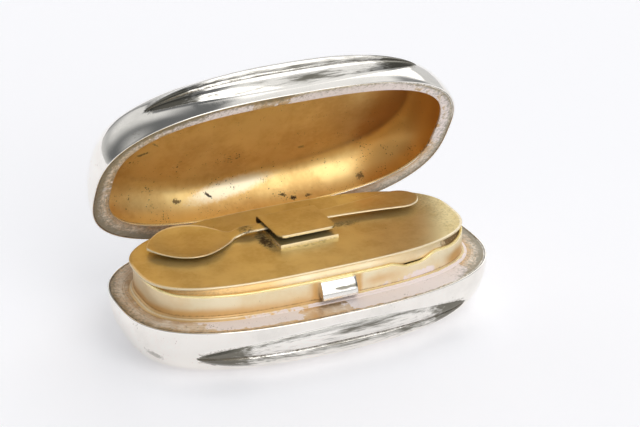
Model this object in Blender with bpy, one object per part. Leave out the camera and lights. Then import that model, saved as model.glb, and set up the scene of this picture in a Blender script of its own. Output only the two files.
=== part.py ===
"""Oval silver snuff box: hinged outer lid, collar with a flat inner lid, folded clip and spoon.

The box stands on the flat of its base at the origin, its length along X and its front towards -Y.
The outer lid is modelled closed and then turned open about the main hinge, as it stands at rest.
"""
import math

import bmesh
import bpy
from mathutils import Matrix, Vector

MM = 0.001

# Plan of the box at the plane where the two halves meet
BOX_LENGTH = 65.0 * MM
BOX_WIDTH = 36.6 * MM
RIM_POWER = 2.71
PLAN_STEPS = 80

# The two pressed shells
BASE_DEPTH = 9.4 * MM
LID_DEPTH = 9.4 * MM
SHELL_WALL = 0.55 * MM
SHOULDER_INSET = 5.0 * MM
SIDE_BAND = 0.65 * MM
FLAT_POWER = 2.3
INNER_ROWS = 6
LID_REST_ANGLE = math.radians(59.7)
SMOOTH_ANGLE = math.radians(30)

# Reeded band: two raised reeds that run together at both ends, on the front and on the back
REED_HEIGHT = 0.6 * MM
REED_END_MARGIN = 8.1 * MM
REED_VALLEY_ANGLE = math.radians(29.0)
REED_UPPER_SPREAD = math.radians(24.0)
REED_LOWER_SPREAD = math.radians(33.0)
REED_TAPER_POWER = 0.8
REED_LEAST_SPREAD_SHARE = 0.22
EDGE_ROUNDS = 4
REED_ROWS = 6
UPPER_PLAIN_ROWS = 2
LOWER_PLAIN_ROWS = 3

# Flat rims soldered inside the mouths of the shells
RIM_THICKNESS = 0.45 * MM
SOLDER_GAP = 0.1 * MM
SEAM_GAP = 0.15 * MM
LID_OPENING_END_MARGIN = 2.85 * MM
LID_OPENING_FRONT_MARGIN = 2.45 * MM
LID_OPENING_BACK_MARGIN = 4.15 * MM
LID_OPENING_POWER = 2.9

# Collar on the base rim
COLLAR_END_LEDGE = 4.1 * MM
COLLAR_SIDE_LEDGE = 5.4 * MM
COLLAR_POWER = 3.0
COLLAR_WALL = 0.5 * MM
COLLAR_HEIGHT = 4.45 * MM
CUT_DEPTH = 1.45 * MM
CUT_PLACE_SHARES = (-0.99, -0.88, -0.5, 0.38, 0.49, 0.57, 0.7, 0.83, 1.0)
CUT_DEPTH_SHARES = (0.0, 0.25, 0.38, 0.4, 1.0, 1.0, 0.3, 0.5, 0.0)

# Sloping band of solder round the collar's foot
FOOT_END_SPREAD = 0.95 * MM
FOOT_FRONT_SPREAD = 1.15 * MM
FOOT_BACK_SPREAD = 0.65 * MM
FOOT_POWER = 2.8
FOOT_HEIGHT = 0.45 * MM
FOOT_OUT_SHARES = (0.0, 0.0, 0.25, 0.6, 0.92, 1.0)
FOOT_RISE_SHARES = (0.0, 1.0, 0.75, 0.6, 0.4, 0.0)

# Snap catch on the collar's front
CATCH_WIDTH = 6.3 * MM
CATCH_CENTRE_X = 0.8 * MM
CATCH_HEIGHT = 2.95 * MM
CATCH_FOOT_GAP = 0.15 * MM
CATCH_BULGE = 1.4 * MM
CATCH_LIP = 0.3 * MM
CATCH_FOOT_ROUND = 0.25 * MM
CATCH_ARC_STEPS = 8

# Inner lid
PLATE_END_OVERHANG = 0.55 * MM
PLATE_FRONT_INSET = 0.95 * MM
PLATE_BACK_OVERHANG = 1.1 * MM
PLATE_BACK_POWER = 2.6
PLATE_THICKNESS = 0.45 * MM
PLATE_EDGE_ROUND = 0.12 * MM
SKIRT_CLEARANCE = 0.25 * MM
SKIRT_SETBACK = 0.3 * MM
SKIRT_THICKNESS = 0.4 * MM
SKIRT_DEPTH = 1.5 * MM
SKIRT_BACK_TURN = math.radians(27)
SKIRT_STEPS = 48

# Folded clip
CLIP_WIDTH = 10.5 * MM
CLIP_CENTRE_X = 0.85 * MM
CLIP_BACK_MARGIN = 5.7 * MM
CLIP_LEAF_LENGTH = 10.5 * MM
CLIP_LEAF_THICKNESS = 0.65 * MM
CLIP_GAP = 0.8 * MM
CLIP_FLAP_THICKNESS = 0.45 * MM
CLIP_FLAP_SETBACK = 0.8 * MM
CLIP_CORNER_RADIUS = 1.3 * MM
CLIP_BEND_STEPS = 7
CLIP_CORNER_STEPS = 4

# Spoon, from the point of its bowl to the round end of its handle
SPOON_TIP_MARGIN = 3.7 * MM
SPOON_END_MARGIN = 4.55 * MM
SPOON_TIP_BACK_MARGIN = 9.05 * MM
SPOON_END_BACK_MARGIN = 8.65 * MM
SPOON_THICKNESS = 0.5 * MM
SPOON_CLEARANCE = 0.15 * MM
BOWL_LENGTH = 15.6 * MM
BOWL_WIDTH = 12.6 * MM
BOWL_DISH = 0.8 * MM
BOWL_DISH_POWER = 3
BOWL_PEAK_POWER = 0.9
BOWL_FULLNESS_POWER = 0.8
NECK_WIDTH = 2.5 * MM
NECK_FROM_TIP = 17.6 * MM
HANDLE_WIDTH = 6.6 * MM
HANDLE_WIDEST_FROM_END = 4.0 * MM
HANDLE_FLARE_POWER = 2.6
BOWL_BLEND_POWER = 4
SPOON_STEPS = 40
SPOON_ACROSS = 6

# Main hinge across the back
HINGE_INSET = 0.3 * MM
HINGE_LENGTH = 26.0 * MM
KNUCKLE_RADIUS = 1.15 * MM
KNUCKLE_COUNT = 5
KNUCKLE_CLEARANCE = 0.25 * MM
KNUCKLE_END_GAP = 0.2 * MM
PIN_RADIUS = 0.45 * MM
PIN_CLEARANCE = 0.1 * MM
PIN_END_ROUND = 0.12 * MM
ROUND_STEPS = 16

# Small hinge of the inner lid, behind the collar and under the edge of the plate
INNER_HINGE_LENGTH = 18.0 * MM
INNER_KNUCKLE_RADIUS = 0.5 * MM
INNER_KNUCKLE_COUNT = 3
INNER_PIN_RADIUS = 0.22 * MM

SEAM_Z = BASE_DEPTH
HINGE_Y = BOX_WIDTH / 2 - HINGE_INSET
HINGE_Z = SEAM_Z + SEAM_GAP / 2
REED_REACH = BOX_LENGTH / 2 - REED_END_MARGIN
MOUTH_LENGTH = BOX_LENGTH - 2 * (SHELL_WALL + SOLDER_GAP)
MOUTH_WIDTH = BOX_WIDTH - 2 * (SHELL_WALL + SOLDER_GAP)
LID_OPENING_LENGTH = BOX_LENGTH - 2 * LID_OPENING_END_MARGIN
LID_OPENING_WIDTH = BOX_WIDTH - LID_OPENING_FRONT_MARGIN - LID_OPENING_BACK_MARGIN
LID_OPENING_SHIFT = (LID_OPENING_FRONT_MARGIN - LID_OPENING_BACK_MARGIN) / 2
COLLAR_LENGTH = BOX_LENGTH - 2 * COLLAR_END_LEDGE
COLLAR_WIDTH = BOX_WIDTH - 2 * COLLAR_SIDE_LEDGE
COLLAR_TOP = SEAM_Z + SOLDER_GAP + COLLAR_HEIGHT
PLATE_BOTTOM = COLLAR_TOP + SOLDER_GAP
PLATE_TOP = PLATE_BOTTOM + PLATE_THICKNESS
PLATE_LENGTH = COLLAR_LENGTH + 2 * PLATE_END_OVERHANG
PLATE_WIDTH = COLLAR_WIDTH - PLATE_FRONT_INSET + PLATE_BACK_OVERHANG
PLATE_SHIFT = (PLATE_FRONT_INSET + PLATE_BACK_OVERHANG) / 2
PLATE_BACK_Y = PLATE_SHIFT + PLATE_WIDTH / 2
PLATE_FRONT_Y = PLATE_SHIFT - PLATE_WIDTH / 2
INNER_HINGE_Y = COLLAR_WIDTH / 2 + SOLDER_GAP + INNER_KNUCKLE_RADIUS
INNER_HINGE_Z = PLATE_BOTTOM - SOLDER_GAP - INNER_KNUCKLE_RADIUS
CLIP_BACK_Y = PLATE_BACK_Y - CLIP_BACK_MARGIN
SPOON_LENGTH = PLATE_LENGTH - SPOON_TIP_MARGIN - SPOON_END_MARGIN
SPOON_TIP_X = SPOON_TIP_MARGIN - PLATE_LENGTH / 2
SPOON_TIP_Y = PLATE_BACK_Y - SPOON_TIP_BACK_MARGIN
SPOON_END_Y = PLATE_BACK_Y - SPOON_END_BACK_MARGIN
HANDLE_WIDEST_FROM_TIP = SPOON_LENGTH - HANDLE_WIDEST_FROM_END
LEAF_BOTTOM = PLATE_TOP + SOLDER_GAP
LEAF_TOP = LEAF_BOTTOM + CLIP_LEAF_THICKNESS


def material(name, colour, roughness):
    """A metal of one colour."""
    mat = bpy.data.materials.new(name)
    mat.use_nodes = True
    shader = mat.node_tree.nodes["Principled BSDF"]
    shader.inputs["Base Color"].default_value = (*colour, 1.0)
    shader.inputs["Metallic"].default_value = 1.0
    shader.inputs["Roughness"].default_value = roughness
    return mat


def finish(name, bm, mat, parent=None):
    """Turn a bmesh into a named object that keeps its place in the world under its parent."""
    bmesh.ops.recalc_face_normals(bm, faces=bm.faces)
    mesh = bpy.data.meshes.new(name)
    bm.to_mesh(mesh)
    bm.free()
    mesh.shade_smooth()
    mesh.set_sharp_from_angle(angle=SMOOTH_ANGLE)
    mesh.materials.append(mat)
    obj = bpy.data.objects.new(name, mesh)
    bpy.context.collection.objects.link(obj)
    if parent is not None:
        mesh.transform(Matrix.Translation(-parent.location))
        obj.parent = parent
    return obj


def pivot(name, x, y, z):
    """An empty on a joint's axis that carries the pieces that move with it."""
    empty = bpy.data.objects.new(name, None)
    empty.location = (x, y, z)
    bpy.context.collection.objects.link(empty)
    return empty


def loft(sections, looped=False):
    """Join closed sections, each with as many points as the last, into one closed skin."""
    bm = bmesh.new()
    rings = [[bm.verts.new(point) for point in section] for section in sections]
    pairs = list(zip(rings, rings[1:]))
    if looped:
        pairs.append((rings[-1], rings[0]))
    for near, far in pairs:
        for i in range(len(near)):
            j = (i + 1) % len(near)
            bm.faces.new((near[i], near[j], far[j], far[i]))
    if not looped:
        bm.faces.new(rings[0])
        bm.faces.new(rings[-1])
    return bm


def superellipse(half_x, half_y, power, angle):
    """A point of a rounded oval: power 2 is an ellipse, and larger powers are squarer."""
    c, s = math.cos(angle), math.sin(angle)
    x = half_x * math.copysign(abs(c) ** (2 / power), c)
    y = half_y * math.copysign(abs(s) ** (2 / power), s)
    return x, y


def outline(length, width, power, z, shift_y=0.0, inset=0.0):
    """The points of a level oval."""
    points = []
    for i in range(PLAN_STEPS):
        angle = 2 * math.pi * i / PLAN_STEPS
        x, y = superellipse(length / 2 - inset, width / 2 - inset, power, angle)
        points.append(Vector((x, y + shift_y, z)))
    return points


def ring_plate(outer, inner, bottom, top):
    """A flat ring between two ovals, each given as (length, width, power, shift)."""
    sections = []
    for (length, width, power, shift), z in ((outer, top), (outer, bottom), (inner, bottom), (inner, top)):
        sections.append(outline(length, width, power, z, shift))
    return loft(sections, looped=True)


def reed_spread(x):
    """How wide the reeded band is at x, as a share of its width at the middle."""
    reach = max(0.0, 1 - (x / REED_REACH) ** 2)
    return reach ** REED_TAPER_POWER


def reed_lift(x, turn):
    """How far the two reeds stand out of the shoulder at x and at an angle round the shoulder."""
    share = reed_spread(x)
    if share <= 0:
        return 0.0
    spread = REED_UPPER_SPREAD if turn < REED_VALLEY_ANGLE else REED_LOWER_SPREAD
    across = abs(turn - REED_VALLEY_ANGLE) / (spread * share)
    if across >= 1:
        return 0.0
    return REED_HEIGHT * math.sqrt(share) * math.sin(math.pi * across)


def shoulder_point(angle, turn, depth):
    """A point of a shell's outside: plan angle, angle round the shoulder, and its way down as -z."""
    wide = 1 - math.cos(turn)
    power = RIM_POWER + (FLAT_POWER - RIM_POWER) * wide
    inset = SHOULDER_INSET * wide
    x, y = superellipse(BOX_LENGTH / 2 - inset, BOX_WIDTH / 2 - inset, power, angle)
    drop = SIDE_BAND + (depth - SIDE_BAND) * math.sin(turn)
    outward = Vector((math.cos(turn) / SHOULDER_INSET, math.sin(turn) / (depth - SIDE_BAND))).normalized()
    lift = reed_lift(x, turn)
    return Vector((x, y + math.copysign(lift * outward.x, y), -drop - lift * outward.y))


def reed_edge(angle, spread, depth):
    """Angle round the shoulder at which a reed ends, on the column at one plan angle."""
    turn = REED_VALLEY_ANGLE + spread
    for _ in range(EDGE_ROUNDS):
        x = shoulder_point(angle, turn, depth).x
        turn = REED_VALLEY_ANGLE + spread * max(reed_spread(x), REED_LEAST_SPREAD_SHARE)
    return turn


def outer_turns(angle, depth):
    """Angles round the shoulder for one column of points, gathered on the reeds' edges and valley."""
    marks = (0.0, reed_edge(angle, -REED_UPPER_SPREAD, depth), REED_VALLEY_ANGLE,
             reed_edge(angle, REED_LOWER_SPREAD, depth), math.pi / 2)
    rows_between = (UPPER_PLAIN_ROWS, REED_ROWS, REED_ROWS, LOWER_PLAIN_ROWS)
    turns = []
    for start, end, rows in zip(marks, marks[1:], rows_between):
        turns += [start + (end - start) * k / rows for k in range(rows)]
    return turns + [marks[-1]]


def outside_sections(depth):
    """A shell's outside as level rings, from its mouth to its flat."""
    columns = []
    for i in range(PLAN_STEPS):
        angle = 2 * math.pi * i / PLAN_STEPS
        columns.append([shoulder_point(angle, turn, depth) for turn in outer_turns(angle, depth)])
    mouth = outline(BOX_LENGTH, BOX_WIDTH, RIM_POWER, 0)
    return [mouth] + [list(ring) for ring in zip(*columns)]


def inside_sections(depth):
    """A shell's plain inside as level rings, from its mouth to its flat."""
    sections = [outline(BOX_LENGTH, BOX_WIDTH, RIM_POWER, 0, inset=SHELL_WALL)]
    for k in range(INNER_ROWS + 1):
        turn = math.pi / 2 * k / INNER_ROWS
        wide = 1 - math.cos(turn)
        power = RIM_POWER + (FLAT_POWER - RIM_POWER) * wide
        inset = SHELL_WALL + (SHOULDER_INSET - SHELL_WALL) * wide
        drop = SIDE_BAND + (depth - SHELL_WALL - SIDE_BAND) * math.sin(turn)
        sections.append(outline(BOX_LENGTH, BOX_WIDTH, power, -drop, inset=inset))
    return sections


def base_half():
    """The lower shell, hanging from the seam."""
    bm = loft(outside_sections(BASE_DEPTH)[::-1] + inside_sections(BASE_DEPTH))
    bmesh.ops.translate(bm, vec=(0, 0, SEAM_Z), verts=bm.verts)
    return bm


def lid_half():
    """The upper shell, the same form turned upside down above the seam."""
    bm = loft(outside_sections(LID_DEPTH)[::-1] + inside_sections(LID_DEPTH))
    bmesh.ops.transform(bm, matrix=Matrix.Scale(-1, 4, (0, 0, 1)), verts=bm.verts)
    bmesh.ops.translate(bm, vec=(0, 0, SEAM_Z + SEAM_GAP), verts=bm.verts)
    return bm


def round_bar(radius, x_start, x_end, y, z):
    """A round bar along X."""
    bm = bmesh.new()
    turn = Matrix.Rotation(math.pi / 2, 4, 'Y')
    place = Matrix.Translation(((x_start + x_end) / 2, y, z))
    bmesh.ops.create_cone(bm, cap_ends=True, segments=ROUND_STEPS, radius1=radius, radius2=radius,
                          depth=x_end - x_start, matrix=place @ turn)
    return bm


def tube(radius, bore, x_start, x_end, y, z):
    """A short tube along X."""
    sections = []
    for r, x in ((radius, x_start), (radius, x_end), (bore, x_end), (bore, x_start)):
        section = []
        for i in range(ROUND_STEPS):
            angle = 2 * math.pi * i / ROUND_STEPS
            section.append(Vector((x, y + r * math.cos(angle), z + r * math.sin(angle))))
        sections.append(section)
    return loft(sections, looped=True)


def cut(target, bm):
    """Take a shape away from a piece."""
    mesh = bpy.data.meshes.new(target.name + "_cutter")
    bmesh.ops.recalc_face_normals(bm, faces=bm.faces)
    bm.to_mesh(mesh)
    bm.free()
    cutter = bpy.data.objects.new(target.name + "_cutter", mesh)
    bpy.context.collection.objects.link(cutter)
    cutter.hide_render = True
    cutter.display_type = 'WIRE'
    if target.parent is not None:
        mesh.transform(Matrix.Translation(-target.parent.location))
        cutter.parent = target.parent
    boolean = target.modifiers.new("notch", 'BOOLEAN')
    boolean.operation = 'DIFFERENCE'
    boolean.solver = 'EXACT'
    boolean.object = cutter


def hinge_seat(length, radius, y, z):
    """The round seat that a row of knuckles is let into; its flats stay clear of the radius."""
    widened = radius / math.cos(math.pi / ROUND_STEPS)
    half = length / 2 + KNUCKLE_END_GAP
    return round_bar(widened, -half, half, y, z)


def knuckles(prefix, length, radius, bore, count, y, z):
    """Evenly long knuckles along a hinge, as (index, name, bmesh)."""
    pitch = length / count
    for i in range(count):
        start = -length / 2 + i * pitch
        bm = tube(radius, bore, start + KNUCKLE_END_GAP / 2, start + pitch - KNUCKLE_END_GAP / 2, y, z)
        yield i, f"{prefix}_{i + 1}", bm


def pin(name, radius, length, y, z, mat):
    """A hinge pin with rounded ends."""
    bm = round_bar(radius, -length / 2, length / 2, y, z)
    caps = [face for face in bm.faces if len(face.verts) == ROUND_STEPS]
    ends = list({edge for cap in caps for edge in cap.edges})
    bmesh.ops.bevel(bm, geom=ends, offset=PIN_END_ROUND, offset_type='OFFSET', segments=1,
                    profile=0.5, affect='EDGES', material=-1)
    return finish(name, bm, mat)


def collar_top(x, y):
    """Height of the collar's top edge: the front is cut lower, and lowest near its right end."""
    if y > 0:
        return COLLAR_TOP
    place = x / (COLLAR_LENGTH / 2)
    steps = list(zip(CUT_PLACE_SHARES, CUT_DEPTH_SHARES))
    for (near, start), (far, end) in zip(steps, steps[1:]):
        if near <= place <= far:
            return COLLAR_TOP - CUT_DEPTH * (start + (end - start) * (place - near) / (far - near))
    return COLLAR_TOP


def collar_angles():
    """Plan angles round the collar, with extra ones along the front where the cut changes its slope."""
    angles = [2 * math.pi * i / PLAN_STEPS for i in range(PLAN_STEPS)]
    for share in CUT_PLACE_SHARES[:-1]:
        turn = math.acos(abs(share) ** (COLLAR_POWER / 2))
        angles.append(math.pi + turn if share < 0 else 2 * math.pi - turn)
    return sorted(angles)


def collar():
    """The upright wall, one cross-section at each plan angle."""
    sections = []
    bottom = SEAM_Z + SOLDER_GAP
    for angle in collar_angles():
        outer = superellipse(COLLAR_LENGTH / 2, COLLAR_WIDTH / 2, COLLAR_POWER, angle)
        inner = superellipse(COLLAR_LENGTH / 2 - COLLAR_WALL, COLLAR_WIDTH / 2 - COLLAR_WALL,
                             COLLAR_POWER, angle)
        top = collar_top(*outer)
        sections.append([Vector((*outer, bottom)), Vector((*outer, top)),
                         Vector((*inner, top)), Vector((*inner, bottom))])
    return loft(sections, looped=True)


def foot_wire():
    """Band of solder round the collar's foot, sloping from the collar down to the rim."""
    length = COLLAR_LENGTH + 2 * FOOT_END_SPREAD
    width = COLLAR_WIDTH + FOOT_FRONT_SPREAD + FOOT_BACK_SPREAD
    shift = (FOOT_BACK_SPREAD - FOOT_FRONT_SPREAD) / 2
    near = outline(COLLAR_LENGTH, COLLAR_WIDTH, COLLAR_POWER, SEAM_Z + SOLDER_GAP, inset=-SOLDER_GAP)
    far = outline(length, width, FOOT_POWER, SEAM_Z + SOLDER_GAP, shift)
    sections = []
    for out, rise in zip(FOOT_OUT_SHARES, FOOT_RISE_SHARES):
        lift = Vector((0, 0, FOOT_HEIGHT * rise))
        sections.append([inside.lerp(outside, out) + lift for inside, outside in zip(near, far)])
    return loft(sections, looped=True)


def catch():
    """Lug that swells out in a quarter round from its top to its flat foot."""
    wall_y = -COLLAR_WIDTH / 2 - SOLDER_GAP
    foot = SEAM_Z + SOLDER_GAP + FOOT_HEIGHT + CATCH_FOOT_GAP
    drop = CATCH_HEIGHT - CATCH_FOOT_ROUND
    front = []
    for k in range(CATCH_ARC_STEPS + 1):
        turn = math.pi / 2 * k / CATCH_ARC_STEPS
        out = CATCH_LIP + (CATCH_BULGE - CATCH_LIP) * math.sin(turn)
        front.append((wall_y - out, foot + CATCH_HEIGHT - drop * k / CATCH_ARC_STEPS))
    rounded = (wall_y - CATCH_BULGE + CATCH_FOOT_ROUND, foot)
    profile = [(wall_y, foot + CATCH_HEIGHT)] + front + [rounded, (wall_y, foot)]
    sections = []
    for side in (-1, 1):
        x = CATCH_CENTRE_X + side * CATCH_WIDTH / 2
        sections.append([Vector((x, y, z)) for y, z in profile])
    return loft(sections)


def inner_plate():
    """Flat inner lid with softened edges, rounder at the back than at the front."""
    sections = []
    shoulder = PLATE_TOP - PLATE_EDGE_ROUND
    for z, inset in ((PLATE_BOTTOM, 0.0), (shoulder, 0.0), (PLATE_TOP, PLATE_EDGE_ROUND)):
        back = outline(PLATE_LENGTH, PLATE_WIDTH, PLATE_BACK_POWER, z, PLATE_SHIFT, inset)
        front = outline(PLATE_LENGTH, PLATE_WIDTH, COLLAR_POWER, z, PLATE_SHIFT, inset)
        sections.append(back[:PLAN_STEPS // 2] + front[PLAN_STEPS // 2:])
    return loft(sections)


def skirt():
    """Turned-down lip inside the collar, open at the back where the hinge is."""
    half_x = COLLAR_LENGTH / 2 - COLLAR_WALL - SKIRT_CLEARANCE
    front_y = PLATE_FRONT_Y + SKIRT_SETBACK
    back_y = COLLAR_WIDTH / 2 - COLLAR_WALL - SKIRT_CLEARANCE
    half_y = (back_y - front_y) / 2
    top = PLATE_BOTTOM - SOLDER_GAP
    bottom = top - SKIRT_DEPTH
    start = math.pi - SKIRT_BACK_TURN
    end = 2 * math.pi + SKIRT_BACK_TURN
    sections = []
    for k in range(SKIRT_STEPS + 1):
        angle = start + (end - start) * k / SKIRT_STEPS
        section = []
        for inset, z in ((0.0, bottom), (0.0, top), (SKIRT_THICKNESS, top), (SKIRT_THICKNESS, bottom)):
            x, y = superellipse(half_x - inset, half_y - inset, COLLAR_POWER, angle)
            section.append(Vector((x, y + (back_y + front_y) / 2, z)))
        sections.append(section)
    return loft(sections)


def clip_profile(flap_front):
    """The folded strip seen from its end, as (y, z) points; its flap ends at flap_front."""
    leaf_front = CLIP_BACK_Y - CLIP_LEAF_LENGTH
    outer_radius = (CLIP_LEAF_THICKNESS + CLIP_GAP + CLIP_FLAP_THICKNESS) / 2
    inner_radius = CLIP_GAP / 2
    bend_y = CLIP_BACK_Y - outer_radius
    outer_z = LEAF_BOTTOM + outer_radius
    inner_z = LEAF_TOP + inner_radius
    points = [(leaf_front, LEAF_BOTTOM)]
    for k in range(CLIP_BEND_STEPS + 1):
        turn = -math.pi / 2 + math.pi * k / CLIP_BEND_STEPS
        points.append((bend_y + outer_radius * math.cos(turn), outer_z + outer_radius * math.sin(turn)))
    flap_top = outer_z + outer_radius
    points += [(flap_front, flap_top), (flap_front, flap_top - CLIP_FLAP_THICKNESS)]
    for k in range(CLIP_BEND_STEPS + 1):
        turn = math.pi / 2 - math.pi * k / CLIP_BEND_STEPS
        points.append((bend_y + inner_radius * math.cos(turn), inner_z + inner_radius * math.sin(turn)))
    points.append((leaf_front, LEAF_TOP))
    return points


def clip():
    """Folded clip, its flap's two front corners rounded."""
    flap_front = CLIP_BACK_Y - CLIP_LEAF_LENGTH + CLIP_FLAP_SETBACK
    half = CLIP_WIDTH / 2
    stations = []
    for k in range(CLIP_CORNER_STEPS + 1):
        turn = math.pi / 2 * k / CLIP_CORNER_STEPS
        along = half - CLIP_CORNER_RADIUS * (1 - math.sin(turn))
        stations.append((along, CLIP_CORNER_RADIUS * (1 - math.cos(turn))))
    sections = []
    for side, ordered in ((-1, reversed(stations)), (1, stations)):
        for along, back in ordered:
            x = CLIP_CENTRE_X + side * along
            sections.append([Vector((x, y, z)) for y, z in clip_profile(flap_front + back)])
    return loft(sections)


def smooth_step(value):
    """Ease from 0 to 1."""
    value = min(1.0, max(0.0, value))
    return value * value * (3 - 2 * value)


def spoon_half_width(along):
    """Half the spoon's width at a distance from its point: leaf bowl, neck, widening handle."""
    flare = (along - NECK_FROM_TIP) / (HANDLE_WIDEST_FROM_TIP - NECK_FROM_TIP)
    flare = min(1.0, max(0.0, flare)) ** HANDLE_FLARE_POWER
    half = (NECK_WIDTH + (HANDLE_WIDTH - NECK_WIDTH) * flare) / 2
    to_end = SPOON_LENGTH - along
    if to_end < half:
        half = math.sqrt(max(half ** 2 - (half - to_end) ** 2, 0.0))
    leaf = 0.0
    if along < BOWL_LENGTH:
        leaf = math.sin(math.pi * (along / BOWL_LENGTH) ** BOWL_PEAK_POWER)
        leaf = BOWL_WIDTH / 2 * max(leaf, 0.0) ** BOWL_FULLNESS_POWER
        half *= smooth_step(along / BOWL_LENGTH)
    blend = (leaf ** BOWL_BLEND_POWER + half ** BOWL_BLEND_POWER) ** (1 / BOWL_BLEND_POWER)
    return max(blend, SPOON_THICKNESS / 2)


def spoon_line(along):
    """The spoon's middle: its place across the box and the height of its underside."""
    y = SPOON_TIP_Y + (SPOON_END_Y - SPOON_TIP_Y) * along / SPOON_LENGTH
    rise_start = BOWL_LENGTH * BOWL_PEAK_POWER
    rise = smooth_step((along - rise_start) / (NECK_FROM_TIP - rise_start))
    low = PLATE_TOP + SPOON_CLEARANCE
    return y, low + (LEAF_TOP + SPOON_CLEARANCE - low) * rise


def spoon():
    """Spoon: cross-sections along its length, dished in the bowl and lifted onto the clip's leaf."""
    sections = []
    for k in range(SPOON_STEPS + 1):
        share = k / SPOON_STEPS
        along = SPOON_LENGTH * (share - math.sin(2 * math.pi * share) / (4 * math.pi))
        half = spoon_half_width(along)
        y, bottom = spoon_line(along)
        hollow = smooth_step(math.sin(math.pi * min(along / BOWL_LENGTH, 1.0)))
        rim = BOWL_DISH * (1 - smooth_step(along / NECK_FROM_TIP))
        under, over = [], []
        for j in range(SPOON_ACROSS + 1):
            across = 2 * j / SPOON_ACROSS - 1
            lift = bottom + rim * (1 - hollow) + BOWL_DISH * hollow * abs(across) ** BOWL_DISH_POWER
            under.append(Vector((SPOON_TIP_X + along, y + half * across, lift)))
            over.append(Vector((SPOON_TIP_X + along, y + half * across, lift + SPOON_THICKNESS)))
        sections.append(under + over[::-1])
    return loft(sections)


for old in list(bpy.data.objects):
    bpy.data.objects.remove(old, do_unlink=True)

silver = material("silver", (0.80, 0.78, 0.74), 0.18)
rim_silver = material("rim_silver", (0.62, 0.56, 0.53), 0.4)
gilt = material("gilt", (0.80, 0.60, 0.28), 0.3)
pale_gilt = material("pale_gilt", (0.86, 0.76, 0.56), 0.3)

lid_pivot = pivot("lid_pivot", 0, HINGE_Y, HINGE_Z)
inner_pivot = pivot("inner_lid_pivot", 0, INNER_HINGE_Y, INNER_HINGE_Z)

main_seat_radius = KNUCKLE_RADIUS + KNUCKLE_CLEARANCE

# Base
rim_plan = (MOUTH_LENGTH, MOUTH_WIDTH, RIM_POWER, 0)
collar_bore = (COLLAR_LENGTH - 2 * COLLAR_WALL, COLLAR_WIDTH - 2 * COLLAR_WALL, COLLAR_POWER, 0)
base_shell = finish("base_shell", base_half(), silver)
cut(base_shell, hinge_seat(HINGE_LENGTH, main_seat_radius, HINGE_Y, HINGE_Z))
base_rim = finish("base_rim", ring_plate(rim_plan, collar_bore, SEAM_Z - RIM_THICKNESS, SEAM_Z), rim_silver)
cut(base_rim, hinge_seat(HINGE_LENGTH, main_seat_radius, HINGE_Y, HINGE_Z))
finish("collar", collar(), pale_gilt)
finish("foot_wire", foot_wire(), gilt)
finish("front_catch", catch(), silver)

# Outer lid
lid_rim_bottom = SEAM_Z + SEAM_GAP
lid_hole = (LID_OPENING_LENGTH, LID_OPENING_WIDTH, LID_OPENING_POWER, LID_OPENING_SHIFT)
lid_shell = finish("lid_shell", lid_half(), silver, lid_pivot)
cut(lid_shell, hinge_seat(HINGE_LENGTH, main_seat_radius, HINGE_Y, HINGE_Z))
lid_rim = finish("lid_rim", ring_plate(rim_plan, lid_hole, lid_rim_bottom, lid_rim_bottom + RIM_THICKNESS),
                 rim_silver, lid_pivot)
cut(lid_rim, hinge_seat(HINGE_LENGTH, main_seat_radius, HINGE_Y, HINGE_Z))

# Main hinge: the first, third and fifth knuckles belong to the base, the other two to the lid
main_bore = PIN_RADIUS + PIN_CLEARANCE
for index, name, bm in knuckles("hinge_knuckle", HINGE_LENGTH, KNUCKLE_RADIUS, main_bore,
                                KNUCKLE_COUNT, HINGE_Y, HINGE_Z):
    finish(name, bm, silver, None if index % 2 == 0 else lid_pivot)
pin("hinge_pin", PIN_RADIUS, HINGE_LENGTH, HINGE_Y, HINGE_Z, silver)

# Inner lid and its hinge, whose middle knuckle belongs to the plate
finish("inner_lid_plate", inner_plate(), gilt, inner_pivot)
finish("inner_lid_skirt", skirt(), gilt, inner_pivot)
inner_bore = INNER_PIN_RADIUS + PIN_CLEARANCE
for index, name, bm in knuckles("inner_knuckle", INNER_HINGE_LENGTH, INNER_KNUCKLE_RADIUS, inner_bore,
                                INNER_KNUCKLE_COUNT, INNER_HINGE_Y, INNER_HINGE_Z):
    finish(name, bm, gilt, None if index % 2 == 0 else inner_pivot)
pin("inner_hinge_pin", INNER_PIN_RADIUS, INNER_HINGE_LENGTH, INNER_HINGE_Y, INNER_HINGE_Z, gilt)
finish("spoon_clip", clip(), gilt, inner_pivot)
finish("spoon", spoon(), gilt, inner_pivot)

# The lid stands open
lid_pivot.rotation_euler.x = -LID_REST_ANGLE
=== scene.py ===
"""An open oval silver snuff box, gilt inside, on a pale table under soft studio light."""

import logging
import math
from dataclasses import dataclass, field
from enum import Enum
from typing import Any, Callable, Sequence

import bmesh
import bpy
from mathutils import Matrix, Vector, noise


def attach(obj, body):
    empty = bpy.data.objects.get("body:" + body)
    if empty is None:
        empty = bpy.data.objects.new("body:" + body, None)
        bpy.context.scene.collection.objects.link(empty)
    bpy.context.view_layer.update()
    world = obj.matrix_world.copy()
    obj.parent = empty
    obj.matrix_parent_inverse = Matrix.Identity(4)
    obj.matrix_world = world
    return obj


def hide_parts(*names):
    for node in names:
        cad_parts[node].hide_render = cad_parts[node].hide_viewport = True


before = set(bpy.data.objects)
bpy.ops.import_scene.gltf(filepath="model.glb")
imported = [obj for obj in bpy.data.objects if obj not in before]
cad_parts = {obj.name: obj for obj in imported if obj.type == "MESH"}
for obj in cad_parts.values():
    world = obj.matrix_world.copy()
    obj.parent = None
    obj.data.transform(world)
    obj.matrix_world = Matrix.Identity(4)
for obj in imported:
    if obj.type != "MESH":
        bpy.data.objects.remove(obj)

LOG = logging.getLogger("snuff_box")
MM = 0.001
TURN = 2 * math.pi
PlanRow = Callable[[float], Vector]
Rule = Callable[[Vector], float]


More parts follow.
